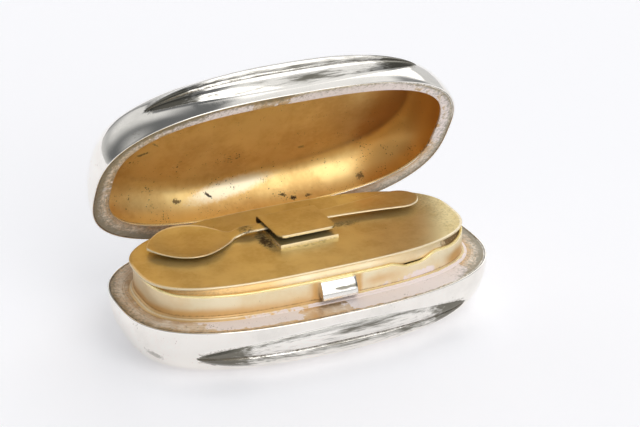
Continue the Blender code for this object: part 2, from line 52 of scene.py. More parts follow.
class Body(Enum):
    """The moving bodies that pieces ride on."""

    BASE = "base"
    LID = "lid"
    INNER_LID = "inner_lid"
    SPOON = "spoon"


def ease(value: float) -> float:
    """Ease a value from 0 to 1.

    Args:
        value: any number; below 0 gives 0 and above 1 gives 1.

    Returns:
        The eased share.
    """
    value = min(1.0, max(0.0, value))
    return value * value * (3 - 2 * value)


def ramp(value: float, start: float, end: float) -> float:
    """A share that is 0 at the start and 1 at the end, eased between them and held outside."""
    return ease((value - start) / (end - start))


def ripple(place: Vector, size: float) -> float:
    """Smooth unevenness from -1 to 1 at a place, with lumps of about a size in millimetres."""
    return noise.noise(place / size)


def between(value: float, stops: Sequence[tuple[float, float]]) -> float:
    """Read a value off a row of stops, eased from each to the next.

    Args:
        value: where to read.
        stops: places in rising order, each with its value.

    Returns:
        The value there, held level before the first stop and after the last.
    """
    if value <= stops[0][0]:
        return stops[0][1]
    for (near, start), (far, end) in zip(stops, stops[1:]):
        if value <= far:
            return start + (end - start) * ramp(value, near, far)
    return stops[-1][1]


def blob(value: float, centre: float, width: float) -> float:
    """A smooth hump that is 1 at its centre and fades over a width."""
    return math.exp(-((value - centre) / width) ** 2)


@dataclass(frozen=True)
class Oval:
    """A level superellipse in millimetres, the plan of each wall of the box."""

    half_x: float
    half_y: float
    power: float
    shift_y: float = 0.0
    back_power: float = 0.0

    def inset(self, by: float) -> "Oval":
        """The same oval drawn in by a distance."""
        return Oval(self.half_x - by, self.half_y - by, self.power, self.shift_y, self.back_power)

    def point(self, angle: float, z: float) -> Vector:
        """A point of the oval at a plan angle and a height."""
        c, s = math.cos(angle), math.sin(angle)
        power = self.back_power if s > 0 and self.back_power else self.power
        x = self.half_x * math.copysign(abs(c) ** (2 / power), c)
        y = self.half_y * math.copysign(abs(s) ** (2 / power), s)
        return Vector((x, y + self.shift_y, z))

    def reach(self, place: Vector) -> float:
        """How far out a place lies: 0 in the middle, 1 on the oval."""
        x, y = abs(place.x / self.half_x), abs((place.y - self.shift_y) / self.half_y)
        return (x ** self.power + y ** self.power) ** (1 / self.power)


def share_across(inner: Oval, outer: Oval, place: Vector) -> float:
    """How far out a place lies on a ring: 0 on its inner oval and 1 on its outer one."""
    inside, outside = inner.reach(place) - 1, 1 - outer.reach(place)
    return inside / max(inside + outside, 1e-6)


def wrap(columns: int, rows: Sequence[PlanRow], joined: bool, lined: int = 0) -> bmesh.types.BMesh:
    """Lay a grid round the box, one row of it on each plan curve.

    Args:
        columns: steps round the plan.
        rows: for each row of the grid, a function from plan angle to a point in millimetres.
        joined: whether the last row joins the first, as in a ring.
        lined: how many of the first rows take the piece's second material.

    Returns:
        The skin, with its seam and its poles merged.
    """
    curves = list(rows) + ([rows[0]] if joined else [])
    bm = bmesh.new()
    bmesh.ops.create_grid(bm, x_segments=columns, y_segments=len(curves) - 1, size=1)
    bm.verts.ensure_lookup_table()
    for index, vert in enumerate(bm.verts):
        row, column = divmod(index, columns + 1)
        vert.co = curves[row](TURN * (column % columns) / columns)
    for face in bm.faces:
        face.material_index = int(min(vert.index for vert in face.verts) // (columns + 1) < lined)
    bmesh.ops.remove_doubles(bm, verts=bm.verts, dist=1e-5)
    return bm


def rounded(oval: Oval, z: float, radius: float, start: float, end: float, steps: int) -> list[PlanRow]:
    """Rows round an edge of an upright wall.

    Args:
        oval: plan of the outermost line of the rounding.
        z: height of the rounding's centre.
        radius: radius of the rounding, negative on a wall's inner side.
        start: first angle above the horizontal, in degrees.
        end: last angle above the horizontal, in degrees.
        steps: rows after the first.

    Returns:
        The rows, in order.
    """
    rows: list[PlanRow] = []
    for k in range(steps + 1):
        turn = math.radians(start + (end - start) * k / steps)
        drawn = oval.inset(radius * (1 - math.cos(turn)))
        height = z + abs(radius) * math.sin(turn)
        rows.append(lambda angle, drawn=drawn, height=height: drawn.point(angle, height))
    return rows


def place_piece(name: str, bm: bmesh.types.BMesh, finishes: Sequence[bpy.types.Material], body: Body,
                nodes: Sequence[str] = (), turn: Matrix | None = None) -> bpy.types.Object:
    """Make a mesh into a dressed piece of the box.

    Args:
        name: the piece's name.
        bm: its mesh in millimetres, closed, which is freed.
        finishes: its material, and then that of its lining.
        body: what it moves with.
        nodes: the plain solids that it stands for.
        turn: a turn to give it about a hinge.

    Returns:
        The object, at the origin.
    """
    bmesh.ops.recalc_face_normals(bm, faces=bm.faces)
    bmesh.ops.scale(bm, vec=(MM, MM, MM), verts=bm.verts)
    if turn is not None:
        bmesh.ops.transform(bm, matrix=turn, verts=bm.verts)
    mesh = bpy.data.meshes.new(name)
    bm.to_mesh(mesh)
    bm.free()
    mesh.shade_smooth()
    for finish in finishes:
        mesh.materials.append(finish)
    piece = bpy.data.objects.new(name, mesh)
    bpy.context.collection.objects.link(piece)
    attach(piece, body.value)
    if nodes:
        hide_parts(*nodes)
    LOG.info("%s: %d faces, moves with %s", name, len(mesh.polygons), body.value)
    return piece


def soften(piece: bpy.types.Object, width: float, segments: int = 2, angle: float = 35) -> None:
    """Round a piece's sharp edges with a bevel, its width in millimetres."""
    bevel = piece.modifiers.new("softened edges", "BEVEL")
    bevel.width = width * MM
    bevel.segments = segments
    bevel.limit_method = "ANGLE"
    bevel.angle_limit = math.radians(angle)
    bevel.harden_normals = False


def carve(piece: bpy.types.Object, cutter_bm: bmesh.types.BMesh, turn: Matrix | None = None) -> None:
    """Cut a seat out of a piece for good.

    Args:
        piece: the piece to cut.
        cutter_bm: the shape to take away, in millimetres, which is freed.
        turn: a turn to give the cutter about a hinge.
    """
    bmesh.ops.recalc_face_normals(cutter_bm, faces=cutter_bm.faces)
    bmesh.ops.scale(cutter_bm, vec=(MM, MM, MM), verts=cutter_bm.verts)
    if turn is not None:
        bmesh.ops.transform(cutter_bm, matrix=turn, verts=cutter_bm.verts)
    mesh = bpy.data.meshes.new("seat")
    cutter_bm.to_mesh(mesh)
    cutter_bm.free()
    cutter = bpy.data.objects.new("seat", mesh)
    bpy.context.collection.objects.link(cutter)
    cut = piece.modifiers.new("seat", "BOOLEAN")
    cut.operation = "DIFFERENCE"
    cut.solver = "EXACT"
    cut.object = cutter
    bpy.context.view_layer.update()
    carved = bpy.data.meshes.new_from_object(piece.evaluated_get(bpy.context.evaluated_depsgraph_get()))
    piece.modifiers.clear()
    bpy.data.objects.remove(cutter, do_unlink=True)
    old = piece.data
    piece.data = carved
    carved.name = old.name
    bpy.data.meshes.remove(old)
    bpy.data.meshes.remove(mesh)


def paint(piece: bpy.types.Object, name: str, rule: Rule, turn: Matrix | None = None) -> None:
    """Store a value from 0 to 1 on each point of a piece, for its material to read.

    Args:
        piece: the piece.
        name: what the material calls the value.
        rule: gives the value at a place of the shut box, in millimetres.
        turn: the turn that the piece was given about a hinge.
    """
    back = turn.inverted() if turn is not None else Matrix.Identity(4)
    stored = piece.data.attributes.new(name, "FLOAT", "POINT")
    values = [min(1.0, max(0.0, rule((back @ vert.co) / MM))) for vert in piece.data.vertices]
    stored.data.foreach_set("value", values)


def hinge_turn(y: float, z: float, angle: float) -> Matrix:
    """A turn about an axis along X at a place in millimetres; a positive angle lifts the front."""
    centre = Vector((0, y * MM, z * MM))
    return Matrix.Translation(centre) @ Matrix.Rotation(-angle, 4, "X") @ Matrix.Translation(-centre)


class Wire:
    """An output socket that adds Math nodes when it is used in an expression."""

    def __init__(self, graph: "Graph", socket: bpy.types.NodeSocket) -> None:
        """Wrap a socket of a graph."""
        self.graph = graph
        self.socket = socket

    def _math(self, operation: str, *values: Any) -> "Wire":
        """Add one Math node on this or other values."""
        return self.graph.node("ShaderNodeMath", {"operation": operation}, dict(enumerate(values)))

    def __add__(self, other: Any) -> "Wire":
        """Sum."""
        return self._math("ADD", self, other)

    __radd__ = __add__

    def __sub__(self, other: Any) -> "Wire":
        """Difference."""
        return self._math("SUBTRACT", self, other)

    def __rsub__(self, other: Any) -> "Wire":
        """Difference from a number."""
        return self._math("SUBTRACT", other, self)

    def __mul__(self, other: Any) -> "Wire":
        """Product."""
        return self._math("MULTIPLY", self, other)

    __rmul__ = __mul__

    def between(self, low: float, high: float) -> "Wire":
        """0 at low and 1 at high, eased in between and held outside."""
        settings = {"interpolation_type": "SMOOTHSTEP"}
        return self.graph.node("ShaderNodeMapRange", settings, {"Value": self, 1: low, 2: high})

    def lighter(self, other: Any) -> "Wire":
        """The larger of two values."""
        return self._math("MAXIMUM", self, other)


class Graph:
    """A material's or the world's node tree."""

    def __init__(self, tree: bpy.types.NodeTree) -> None:
        """Start from an empty tree."""
        self.tree = tree
        tree.nodes.clear()

    def node(self, kind: str, settings: dict[str, Any] | None = None,
             inputs: dict[Any, Any] | None = None, output: int | str = 0) -> Wire:
        """Add a node.

        Args:
            kind: the node's type.
            settings: its properties, set before its sockets are used.
            inputs: values or wires by socket name or number.
            output: the output socket to hand back.

        Returns:
            The wire from that output.
        """
        made = self.tree.nodes.new(kind)
        for key, value in (settings or {}).items():
            setattr(made, key, value)
        for key, value in (inputs or {}).items():
            socket = made.inputs[key]
            if isinstance(value, Wire):
                self.tree.links.new(value.socket, socket)
            else:
                socket.default_value = value
        return Wire(self, made.outputs[output] if made.outputs else None)

    def place(self) -> Wire:
        """Object coordinates."""
        return self.node("ShaderNodeTexCoord", output="Object")

    def stretched(self, scale: tuple[float, float, float],
                  turn: tuple[float, float, float] = (0, 0, 0)) -> Wire:
        """Object coordinates turned and scaled by a Mapping node."""
        inputs = {"Vector": self.place(), "Rotation": turn, "Scale": scale}
        return self.node("ShaderNodeMapping", {"vector_type": "POINT"}, inputs)

    def cloud(self, size: float, detail: float = 3, roughness: float = 0.55,
              vector: Wire | None = None) -> Wire:
        """Noise from 0 to 1 with lumps of about a size in millimetres."""
        inputs = {"Vector": vector or self.place(), "Scale": 1 / (size * MM), "Detail": detail,
                  "Roughness": roughness}
        return self.node("ShaderNodeTexNoise", {}, inputs, "Fac")

    def painted(self, name: str) -> Wire:
        """A value stored on the mesh's points."""
        return self.node("ShaderNodeAttribute", {"attribute_name": name}, output="Fac")

    def mix(self, share: Any, first: Any, second: Any) -> Wire:
        """Colour mixed from the first to the second, its share held from 0 to 1."""
        return self.node("ShaderNodeMix", {"data_type": "RGBA", "clamp_factor": True},
                         {0: share, 6: first, 7: second}, 2)

    def add(self, share: Any, first: Any, second: Any) -> Wire:
        """A share, of any size, of the second colour added to the first."""
        return self.node("ShaderNodeMix", {"data_type": "RGBA", "blend_type": "ADD", "clamp_factor": False},
                         {0: share, 6: first, 7: second}, 2)

    def bump(self, height: Wire, depth: float, normal: Wire | None = None) -> Wire:
        """A bump from a height, its depth in millimetres."""
        inputs: dict[Any, Any] = {"Height": height, "Strength": 1.0, "Distance": depth * MM}
        if normal is not None:
            inputs["Normal"] = normal
        return self.node("ShaderNodeBump", {}, inputs, "Normal")


def colour(red: float, green: float, blue: float) -> tuple[float, float, float, float]:
    """A colour with full alpha."""
    return (red, green, blue, 1.0)


# How noise is read as clouds, specks, pits, ring lines, soiling and painted shade, and scratches; sizes are
# in millimetres.
NOISE_MIDDLE = 0.5
CLOUD_EDGES = (0.35, 0.68)
FINE_SHARE = 1 / 8
CROWD_SPREAD, CROWDING, PITTING, SPECK_EDGE = 9, 0.45, 0.06, 0.04
PIT_GRAIN, PIT_RAGGED, PIT_EDGES = 0.3, 3.2, (0.55, 1.0)
RING_COUNT, RING_BEND, RING_WANDER, RING_SCALE, RING_EDGES = 6, 6, 1.5, 1.6, (0.48, 0.62)
DIRT_AND_SHADE_GRAIN, DIRT_AND_SHADE_GAIN, DIRT_AND_SHADE_START, DIRT_AND_SHADE_EDGES = 0.45, 3.5, 0.75, (0.12, 0.75)
SPECK_STRENGTH, DIRT_AND_SHADE_ROUGHENS, DIRT_AND_SHADE_DULLS = 0.96, 0.3, 0.45
SCRATCH_SIZE, SCRATCH_STRETCH, SCRATCH_TURN = 0.35, (1, 0.08, 1), (0.3, 0.2, 0.5)


@dataclass(frozen=True)
class Patch:
    """A patch whose place is painted on the mesh and whose edge is ragged; patches serve for stains, painted
    highlights, painted shade and a painted dark reflection.
    """

    name: str
    tone: tuple[float, float, float, float]
    roughness: float
    metallic: float = 1.0
    ragged: float = 0.6
    size: float = 1.5
    soft: float = 0.05
    strength: float = 1.0
    stretch: tuple[float, float, float] = (1.0, 1.0, 1.0)


@dataclass(frozen=True)
class Pit:
    """A corroded spot or scratch, given by its two ends and its width in millimetres."""

    start: tuple[float, float, float]
    end: tuple[float, float, float]
    width: float
    depth: float = 1.0


@dataclass(frozen=True)
class MetalFinish:
    """A metal surface with wear: clouded colour, patches (some of them painted light and shade), dark specks,
    dents and fine scratches.
    """

    name: str
    bright: tuple[float, float, float, float]
    clouded: tuple[float, float, float, float]
    dirt_and_shade: tuple[float, float, float, float]
    roughness: float
    cloud_size: float = 9.0
    speck_size: float = 0.4
    speck_level: float = 0.74
    haze: float = 0.12
    dent_depth: float = 0.03
    dent_size: float = 7.0
    scratch_depth: float = 0.002
    metallic: float = 1.0
    rings: float = 0.0
    patches: tuple[Patch, ...] = ()
    pits: tuple[Pit, ...] = ()

    def specks(self, graph: Graph) -> Wire:
        """Small dark specks, crowded in some places, and the larger pits."""
        crowd = graph.cloud(self.speck_size * CROWD_SPREAD, 2) - NOISE_MIDDLE
        dots = graph.cloud(self.speck_size, 3, 0.65) + crowd * CROWDING + graph.painted("pitted") * PITTING
        dots = dots.between(self.speck_level, self.speck_level + SPECK_EDGE)
        ragged = (graph.cloud(PIT_GRAIN, 4, 0.7) - NOISE_MIDDLE) * PIT_RAGGED if self.pits else None
        for pit in self.pits:
            start, end = Vector(pit.start) * MM, Vector(pit.end) * MM
            along, half = end - start, pit.width / 2 * MM
            inputs = {"Vector": graph.place(), "Location": (start + end) / 2,
                      "Rotation": along.to_track_quat("X", "Z").to_euler(),
                      "Scale": (along.length / 2 + half, half, half)}
            inside = graph.node("ShaderNodeMapping", {"vector_type": "TEXTURE"}, inputs)
            reach = graph.node("ShaderNodeVectorMath", {"operation": "LENGTH"}, {0: inside}, "Value")
            dots = dots.lighter((1 - (reach + ragged).between(*PIT_EDGES)) * pit.depth)
        return dots

    def ringed(self, graph: Graph, tone: Wire) -> Wire:
        """Brown-gold lines that run round a flat ring, laid over a colour."""
        across, wander = graph.painted("across") * RING_COUNT, graph.cloud(RING_BEND, 2) * RING_WANDER
        place = graph.node("ShaderNodeCombineXYZ", {}, {0: across, 1: wander, 2: 0.0})
        lines = graph.node("ShaderNodeTexNoise", {},
                           {"Vector": place, "Scale": RING_SCALE, "Detail": 4}, "Fac")
        return graph.mix(lines.between(*RING_EDGES) * self.rings, tone, GOLD_BROWN)

    def build(self) -> bpy.types.Material:
        """Make the material."""
        made = bpy.data.materials.new(self.name)
        made.use_nodes = True
        graph = Graph(made.node_tree)
        cloud = graph.cloud(self.cloud_size, 5).between(*CLOUD_EDGES)
        fine = graph.cloud(self.cloud_size * FINE_SHARE, 3)
        tone = graph.mix(cloud * (NOISE_MIDDLE + fine), self.bright, self.clouded)
        if self.rings:
            tone = self.ringed(graph, tone)
        rough: Any = self.roughness + self.haze * cloud * fine
        metal: Any = self.metallic
        for patch in self.patches:
            grain = graph.cloud(patch.size, 5, 0.62, graph.stretched(patch.stretch)) - NOISE_MIDDLE
            edge = graph.painted(patch.name) + grain * patch.ragged
            mask = edge.between(NOISE_MIDDLE - patch.soft, NOISE_MIDDLE + patch.soft) * patch.strength
            tone = graph.mix(mask, tone, patch.tone)
            rough = rough + (patch.roughness - rough) * mask
            metal = metal + (patch.metallic - metal) * mask
        # The painted value read here marks real soiling, and painted shade in folds, under parts and beside
        # them.
        dirt_and_shade_mask = graph.painted("dirt_and_shade") * (DIRT_AND_SHADE_GAIN * graph.cloud(DIRT_AND_SHADE_GRAIN, 5, 0.7) - DIRT_AND_SHADE_START)
        dirt_and_shade_mask = dirt_and_shade_mask.between(*DIRT_AND_SHADE_EDGES).lighter(self.specks(graph) * SPECK_STRENGTH)
        scratches = graph.cloud(SCRATCH_SIZE, 2, vector=graph.stretched(SCRATCH_STRETCH, SCRATCH_TURN))
        normal = graph.bump(graph.cloud(self.dent_size, 1), self.dent_depth)
        normal = graph.bump(scratches, self.scratch_depth, normal)
        shader = graph.node("ShaderNodeBsdfPrincipled", {}, {
            "Base Color": graph.mix(dirt_and_shade_mask, tone, self.dirt_and_shade), "Metallic": metal * (1 - DIRT_AND_SHADE_DULLS * dirt_and_shade_mask),
            "Roughness": rough + DIRT_AND_SHADE_ROUGHENS * dirt_and_shade_mask, "Normal": normal})
        graph.node("ShaderNodeOutputMaterial", {}, {"Surface": shader})
        return made


WHITE = colour(1.0, 1.0, 1.0)
LILAC = colour(0.97, 0.87, 0.84)
GOLD_BROWN = colour(0.66, 0.45, 0.25)
# A painted highlight: pale gold on lit edges and on the lit streak inside the lid.
PAINTED_GOLD_HIGHLIGHT = Patch("painted_highlight", colour(1.0, 0.87, 0.61), 0.28, 0.45, ragged=0.4, size=0.6, soft=0.2)
# Painted shade: dark orange gold where the gilt lies in shade and mirrors other gilt.
PAINTED_SHADE_GILT = Patch("painted_shade", colour(0.70, 0.36, 0.09), 0.32, 0.8, ragged=0.9, size=4, soft=0.4, strength=0.85)

SILVER = MetalFinish(
    "polished silver", colour(0.94, 0.905, 0.85), colour(0.85, 0.82, 0.765), colour(0.15, 0.12, 0.08), 0.07,
    speck_size=0.3, speck_level=0.75, haze=0.14, dent_depth=0.03, scratch_depth=0.0012,
    # On the reeds this dark patch is tarnishing; on the catch it is a painted dark reflection.
    patches=(Patch("tarnish_and_dark_reflection", colour(0.07, 0.062, 0.035), 0.2, ragged=1.0, size=0.3, soft=0.2,
                   strength=0.86, stretch=(0.07, 1.0, 1.0)),),
    pits=(Pit((-30.4, -8.0, 4.3), (-28.8, -9.7, 3.7), 1.4, 0.5),))
RIM_SILVER = MetalFinish(
    "tarnished rim", colour(0.92, 0.82, 0.70), colour(0.76, 0.62, 0.48), colour(0.16, 0.12, 0.08), 0.45,
    cloud_size=2.5, speck_size=0.25, speck_level=0.69, dent_depth=0.02, dent_size=4,
    scratch_depth=0.004, metallic=0.25, rings=0.8,
    patches=(Patch("gold_stain_and_shade", GOLD_BROWN, 0.35, 0.6, ragged=0.7, size=1.2, soft=0.2),
             Patch("lilac", LILAC, 0.5, 0.1, ragged=0.75, size=1.3, soft=0.03),
             Patch("dull", colour(0.22, 0.20, 0.14), 0.45, 0.5, ragged=1.3, size=0.5, soft=0.3, strength=0.8),
             # The last patch is a painted highlight: bright lines on the rims' edges.
             Patch("painted_highlight", colour(1.0, 0.96, 0.86), 0.15, 0.9, ragged=0.5, size=1.5, soft=0.15)))
GILT = MetalFinish(
    "satin gilt", colour(0.97, 0.70, 0.29), colour(0.80, 0.52, 0.19), colour(0.05, 0.03, 0.012), 0.33,
    cloud_size=7, speck_size=0.32, speck_level=0.71, dent_depth=0.03, metallic=0.8,
    patches=(PAINTED_SHADE_GILT, PAINTED_GOLD_HIGHLIGHT),
    pits=(Pit((-7.74, 23.13, 15.0), (-6.55, 22.66, 14.01), 0.55),
          Pit((-21.33, 18.67, 26.12), (-19.62, 18.45, 26.53), 0.7, 0.8),
          Pit((-19.0, 17.3, 28.51), (-17.95, 17.8, 27.66), 0.4, 0.5),
          Pit((-13.5, 22.4, 14.7), (-13.0, 22.4, 14.6), 1.1, 0.8),
          Pit((5.78, 21.62, 12.62), (6.96, 21.42, 12.46), 0.5, 0.9),
          Pit((8.0, 20.8, 11.95), (8.3, 20.75, 11.9), 0.9),
          Pit((10.5, 20.55, 11.95), (11.4, 20.5, 12.04), 0.6, 0.9),
          Pit((20.6, 20.0, 14.2), (20.9, 20.0, 14.0), 1.4, 0.75),
          Pit((9.7, 21.67, 20.98), (10.5, 21.6, 20.9), 0.8, 0.45)))
LEAF_GILT = MetalFinish(
    "pale satin gilt", colour(0.82, 0.67, 0.33), colour(0.70, 0.54, 0.23), colour(0.07, 0.04, 0.015), 0.32,
    cloud_size=5, speck_size=0.3, speck_level=0.74, dent_depth=0.03, metallic=0.75,
    patches=(PAINTED_SHADE_GILT, PAINTED_GOLD_HIGHLIGHT))
PALE_GILT = MetalFinish(
    "worn pale gilt", colour(0.98, 0.865, 0.62), colour(0.93, 0.775, 0.50), colour(0.22, 0.13, 0.05), 0.32,
    cloud_size=7, speck_size=0.3, speck_level=0.76, dent_depth=0.05, dent_size=5, metallic=0.4,
    # Brown-gold: on the collar and the skirt this is mostly painted shade.
    patches=(Patch("gold_stain_and_shade", colour(0.80, 0.50, 0.20), 0.3, 0.5, ragged=0.35, size=2.5, soft=0.45),
             Patch("lilac", colour(0.97, 0.85, 0.82), 0.5, 0.1, ragged=0.8, size=1.3, soft=0.06),
             # The last patch is a painted highlight: bright lines on the collar's top edge and on the foot
             # band.
             Patch("painted_highlight", colour(1.0, 0.82, 0.40), 0.2, 0.7, ragged=0.4, size=0.8, soft=0.2)))


@dataclass
class Reeds:
    """The band of two raised reeds that run together at both ends, on a shell's front and back."""

    height: float = 0.78
    reach: float = 24.4
    centre: float = 0.0
    valley: float = 29.0
    upper: float = 24.0
    lower: float = 33.0
    taper: float = 0.65
    lean: float = 0.62
    least_share: float = 0.22

    def share(self, x: float) -> float:
        """The band's width at x, as a share of its width at the middle."""
        return max(0.0, 1 - ((x - self.centre) / self.reach) ** 2) ** self.taper

    def lift(self, x: float, turn: float) -> float:
        """How far the metal stands out at x and at an angle round the shoulder in degrees."""
        share = self.share(x)
        if share <= 0:
            return 0.0
        across = abs(turn - self.valley) / ((self.upper if turn < self.valley else self.lower) * share)
        return self.height * math.sqrt(share) * math.sin(math.pi * across ** self.lean) if across < 1 else 0.0

    def marks(self, x: float) -> tuple[float, float]:
        """Angles of the band's upper and lower edge at x, kept a little apart at the ends."""
        share = max(self.share(x), self.least_share)
        return self.valley - self.upper * share, self.valley + self.lower * share


@dataclass
class Shell:
    """A pressed half of the box, drawn below its rim plane with the plane at 0."""

    plan: Oval = field(default_factory=lambda: Oval(32.5, 18.3, 2.71))
    depth: float = 9.4
    wall: float = 0.55
    inset: float = 5.0
    band: float = 0.65
    flat_power: float = 2.3
    crown: float = 0.0
    rebate: float = 0.28
    rebate_depth: float = 0.52
    inner_lip: float = 0.1
    outer_lip: float = 0.12
    columns: int = 288
    flat_shares: tuple[float, ...] = (0.0, 0.3, 0.6, 0.85, 0.97)
    reeds: Reeds = field(default_factory=Reeds)

    def shoulder(self, angle: float, turn: float, drawn_in: float, depth: float) -> Vector:
        """A point round the plain shoulder, with turn in degrees."""
        rad = math.radians(turn)
        wide = 1 - math.cos(rad)
        power = self.plan.power + (self.flat_power - self.plan.power) * wide
        by = drawn_in + (self.inset - drawn_in) * wide
        oval = Oval(self.plan.half_x - by, self.plan.half_y - by, power)
        return oval.point(angle, -self.band - (depth - self.band) * math.sin(rad))

    def outside(self, angle: float, turn: float) -> Vector:
        """A point of the reeded outside."""
        point = self.shoulder(angle, turn, 0.0, self.depth)
        rad = math.radians(turn)
        lift = self.reeds.lift(point.x, turn)
        out = Vector((math.cos(rad) / self.inset, math.sin(rad) / (self.depth - self.band))).normalized()
        point.y += math.copysign(lift * out.x, point.y)
        point.z -= lift * out.y
        return point

    def outer_turn(self, angle: float, step: float) -> float:
        """Angle round the shoulder of an outer row, its step counted from 0 to 4 between the marks."""
        low, high = 5.0, 62.0
        for _ in range(4):
            low = self.reeds.marks(self.shoulder(angle, low, 0.0, self.depth).x)[0]
            high = self.reeds.marks(self.shoulder(angle, high, 0.0, self.depth).x)[1]
        marks = (0.0, low, self.reeds.valley, high, 90.0)
        index = min(int(step), len(marks) - 2)
        return marks[index] + (marks[index + 1] - marks[index]) * (step - index)

    def flat(self, angle: float, share: float, drawn_in: float, depth: float) -> Vector:
        """A point of the flat, at a share of the way out from its middle."""
        edge = self.shoulder(angle, 90, drawn_in, depth)
        return Vector((edge.x * share, edge.y * share, edge.z - self.crown * (1 - share * share)))

    def turn_at(self, place: Vector) -> float:
        """Angle round the shoulder, in degrees, of a place on or near the outside."""
        sine = (-place.z - self.band) / (self.depth - self.band)
        return math.degrees(math.asin(min(1.0, max(0.0, sine))))

    def is_plain(self, place: Vector) -> bool:
        """Whether a place has no reeds: the inside and the two ends."""
        end_half = 6
        return self.is_inside(place) or abs(place.y) < end_half

    def dirt_and_shade(self, place: Vector) -> float:
        """Dirt in the valley, along the reeds' edges and tips, and on the lip's inner side."""
        lip_reach, lip_depth, lip_dirt = 0.985, 1.0, 0.55
        if self.plan.reach(place) < lip_reach and place.z > -lip_depth:
            return lip_dirt
        share = self.reeds.share(place.x)
        if self.is_plain(place) or share <= 0.0:
            return 0.0
        turn = self.turn_at(place)
        low, high = self.reeds.marks(place.x)
        patchy = 0.7 + 0.3 * ripple(place, 2.0)
        valley = blob(turn, self.reeds.valley, 2.6) * patchy * ramp(share, 0, 0.25)
        edges = 0.4 * (blob(turn, low, 1.2) + blob(turn, high, 2.0))
        return valley + edges * ramp(abs(place.x), 12, 22) * ramp(share, 0, 1 / 6)

    def tarnish_and_dark_reflection(self, place: Vector) -> float:
        """Dark streaks on the reeds, closing up at their tips, and grey clouds on the upper one."""
        if self.is_plain(place):
            return 0.0
        turn, share, mid = self.turn_at(place), self.reeds.share(place.x), self.reeds.valley
        low, high = mid - self.reeds.upper * share, mid + self.reeds.lower * share
        on_reed = ramp(turn, low - 0.36, low + 0.84) * ramp(turn, high + 0.6, high - 1.4)
        tips = 0.95 * ramp(abs(place.x), 9, 23)
        crest = 0.64 * blob(turn, 14, 7) * blob(place.x, 3, 9)
        streaks = 0.33 + 0.22 * blob(turn, mid + 6, 4) + 0.14 * blob(turn, low + 4, 2)
        return on_reed * ramp(share, 0, 1 / 30) * max(streaks, crest, tips)

    def painted_shade(self, place: Vector) -> float:
        """Painted shade: deeper gold near the opening and at the ends."""
        near_rim = 0.75 * ramp(place.z, -2.5, 0)
        return max(near_rim, 0.9 * ramp(place.x, 17, 24), 0.5 * ramp(place.x, -20, -26))

    def pitted(self, place: Vector) -> float:
        """How crowded the specks are: inside near the back wall, outside at the ends."""
        if self.is_inside(place):
            return ramp(place.y, 4, 10) * (0.6 + 0.4 * ripple(place, 5.0))
        return 1.7 * ramp(abs(place.x), 21, 27) * (0.6 + 0.4 * ripple(place, 4.0))

    def is_inside(self, place: Vector) -> bool:
        """Whether a place lies on the inner side of the wall."""
        wide = 1 - math.cos(math.radians(self.turn_at(place)))
        mid = self.plan.inset(self.wall / 2 + (self.inset - self.wall / 2) * wide)
        return mid.reach(place) < 1 and -place.z < self.depth - self.wall / 2

    def build(self) -> bmesh.types.BMesh:
        """The whole skin: gilt inside, rebate for the rim, rounded lip and reeded outside."""
        rows: list[PlanRow] = []
        inner_depth, inner_steps = self.depth - self.wall, 20
        for share in self.flat_shares:
            rows.append(lambda a, s=share: self.flat(a, s, self.wall, inner_depth))
        for k in range(inner_steps, -1, -1):
            rows.append(lambda a, t=90 * k / inner_steps: self.shoulder(a, t, self.wall, inner_depth))
        for inset in (self.wall, self.rebate):
            rows.append(lambda a, i=inset: self.plan.inset(i).point(a, -self.rebate_depth))
        lined = len(rows)
        rows += rounded(self.plan.inset(self.rebate), -self.inner_lip, -self.inner_lip, 0, 90, 3)
        rows += rounded(self.plan, -self.outer_lip, self.outer_lip, 90, 0, 4)
        counts = (4, 16, 18, 8)
        steps = [part + k / count for part, count in enumerate(counts) for k in range(count)] + [len(counts)]
        for step in steps:
            rows.append(lambda a, s=step: self.outside(a, self.outer_turn(a, s)))
        for share in reversed(self.flat_shares):
            rows.append(lambda a, s=share: self.flat(a, s, 0.0, self.depth))
        return wrap(self.columns, rows, joined=False, lined=lined)


def ring_strip(outer: Oval, inner: Oval, top: float, bottom: float, edge: float,
               columns: int = 288) -> bmesh.types.BMesh:
    """A flat ring with rounded edges.

    Args:
        outer: plan of its outside.
        inner: plan of its hole.
        top: height of its upper face.
        bottom: height of its lower face.
        edge: radius of its upper edges.
        columns: steps round the plan.

    Returns:
        The ring's mesh in millimetres.
    """
    face_shares = (0.12, 0.3, 0.5, 0.7, 0.88)
    rows = rounded(outer, top - edge, edge, 0, 90, 3)
    for share in face_shares:
        rows.append(lambda a, s=share: outer.inset(edge).point(a, top).lerp(
            inner.inset(-edge).point(a, top), s))
    rows += rounded(inner, top - edge, -edge, 90, 0, 3)
    rows.append(lambda a: inner.point(a, bottom))
    rows.append(lambda a: outer.point(a, bottom))
    return wrap(columns, rows, joined=True)


def round_bar(radius: float, start: float, end: float, y: float, z: float,
              segments: int = 32) -> bmesh.types.BMesh:
    """A round bar along X, all in millimetres."""
    bm = bmesh.new()
    place = Matrix.Translation(((start + end) / 2, y, z)) @ Matrix.Rotation(math.pi / 2, 4, "Y")
    bmesh.ops.create_cone(bm, cap_ends=True, segments=segments, radius1=radius, radius2=radius,
                          depth=end - start, matrix=place)
    return bm


def tube(radius: float, bore: float, start: float, end: float, y: float, z: float) -> bmesh.types.BMesh:
    """A knuckle: a ring section spun about X, all in millimetres."""
    bm = bmesh.new()
    corners = [bm.verts.new((x, y, z + r))
               for r, x in ((bore, start), (radius, start), (radius, end), (bore, end))]
    section = [bm.edges.new(pair) for pair in zip(corners, corners[1:] + corners[:1])]
    bmesh.ops.spin(bm, geom=corners + section, cent=(0, y, z), axis=(1, 0, 0), angle=TURN, steps=32,
                   use_merge=True)
    return bm


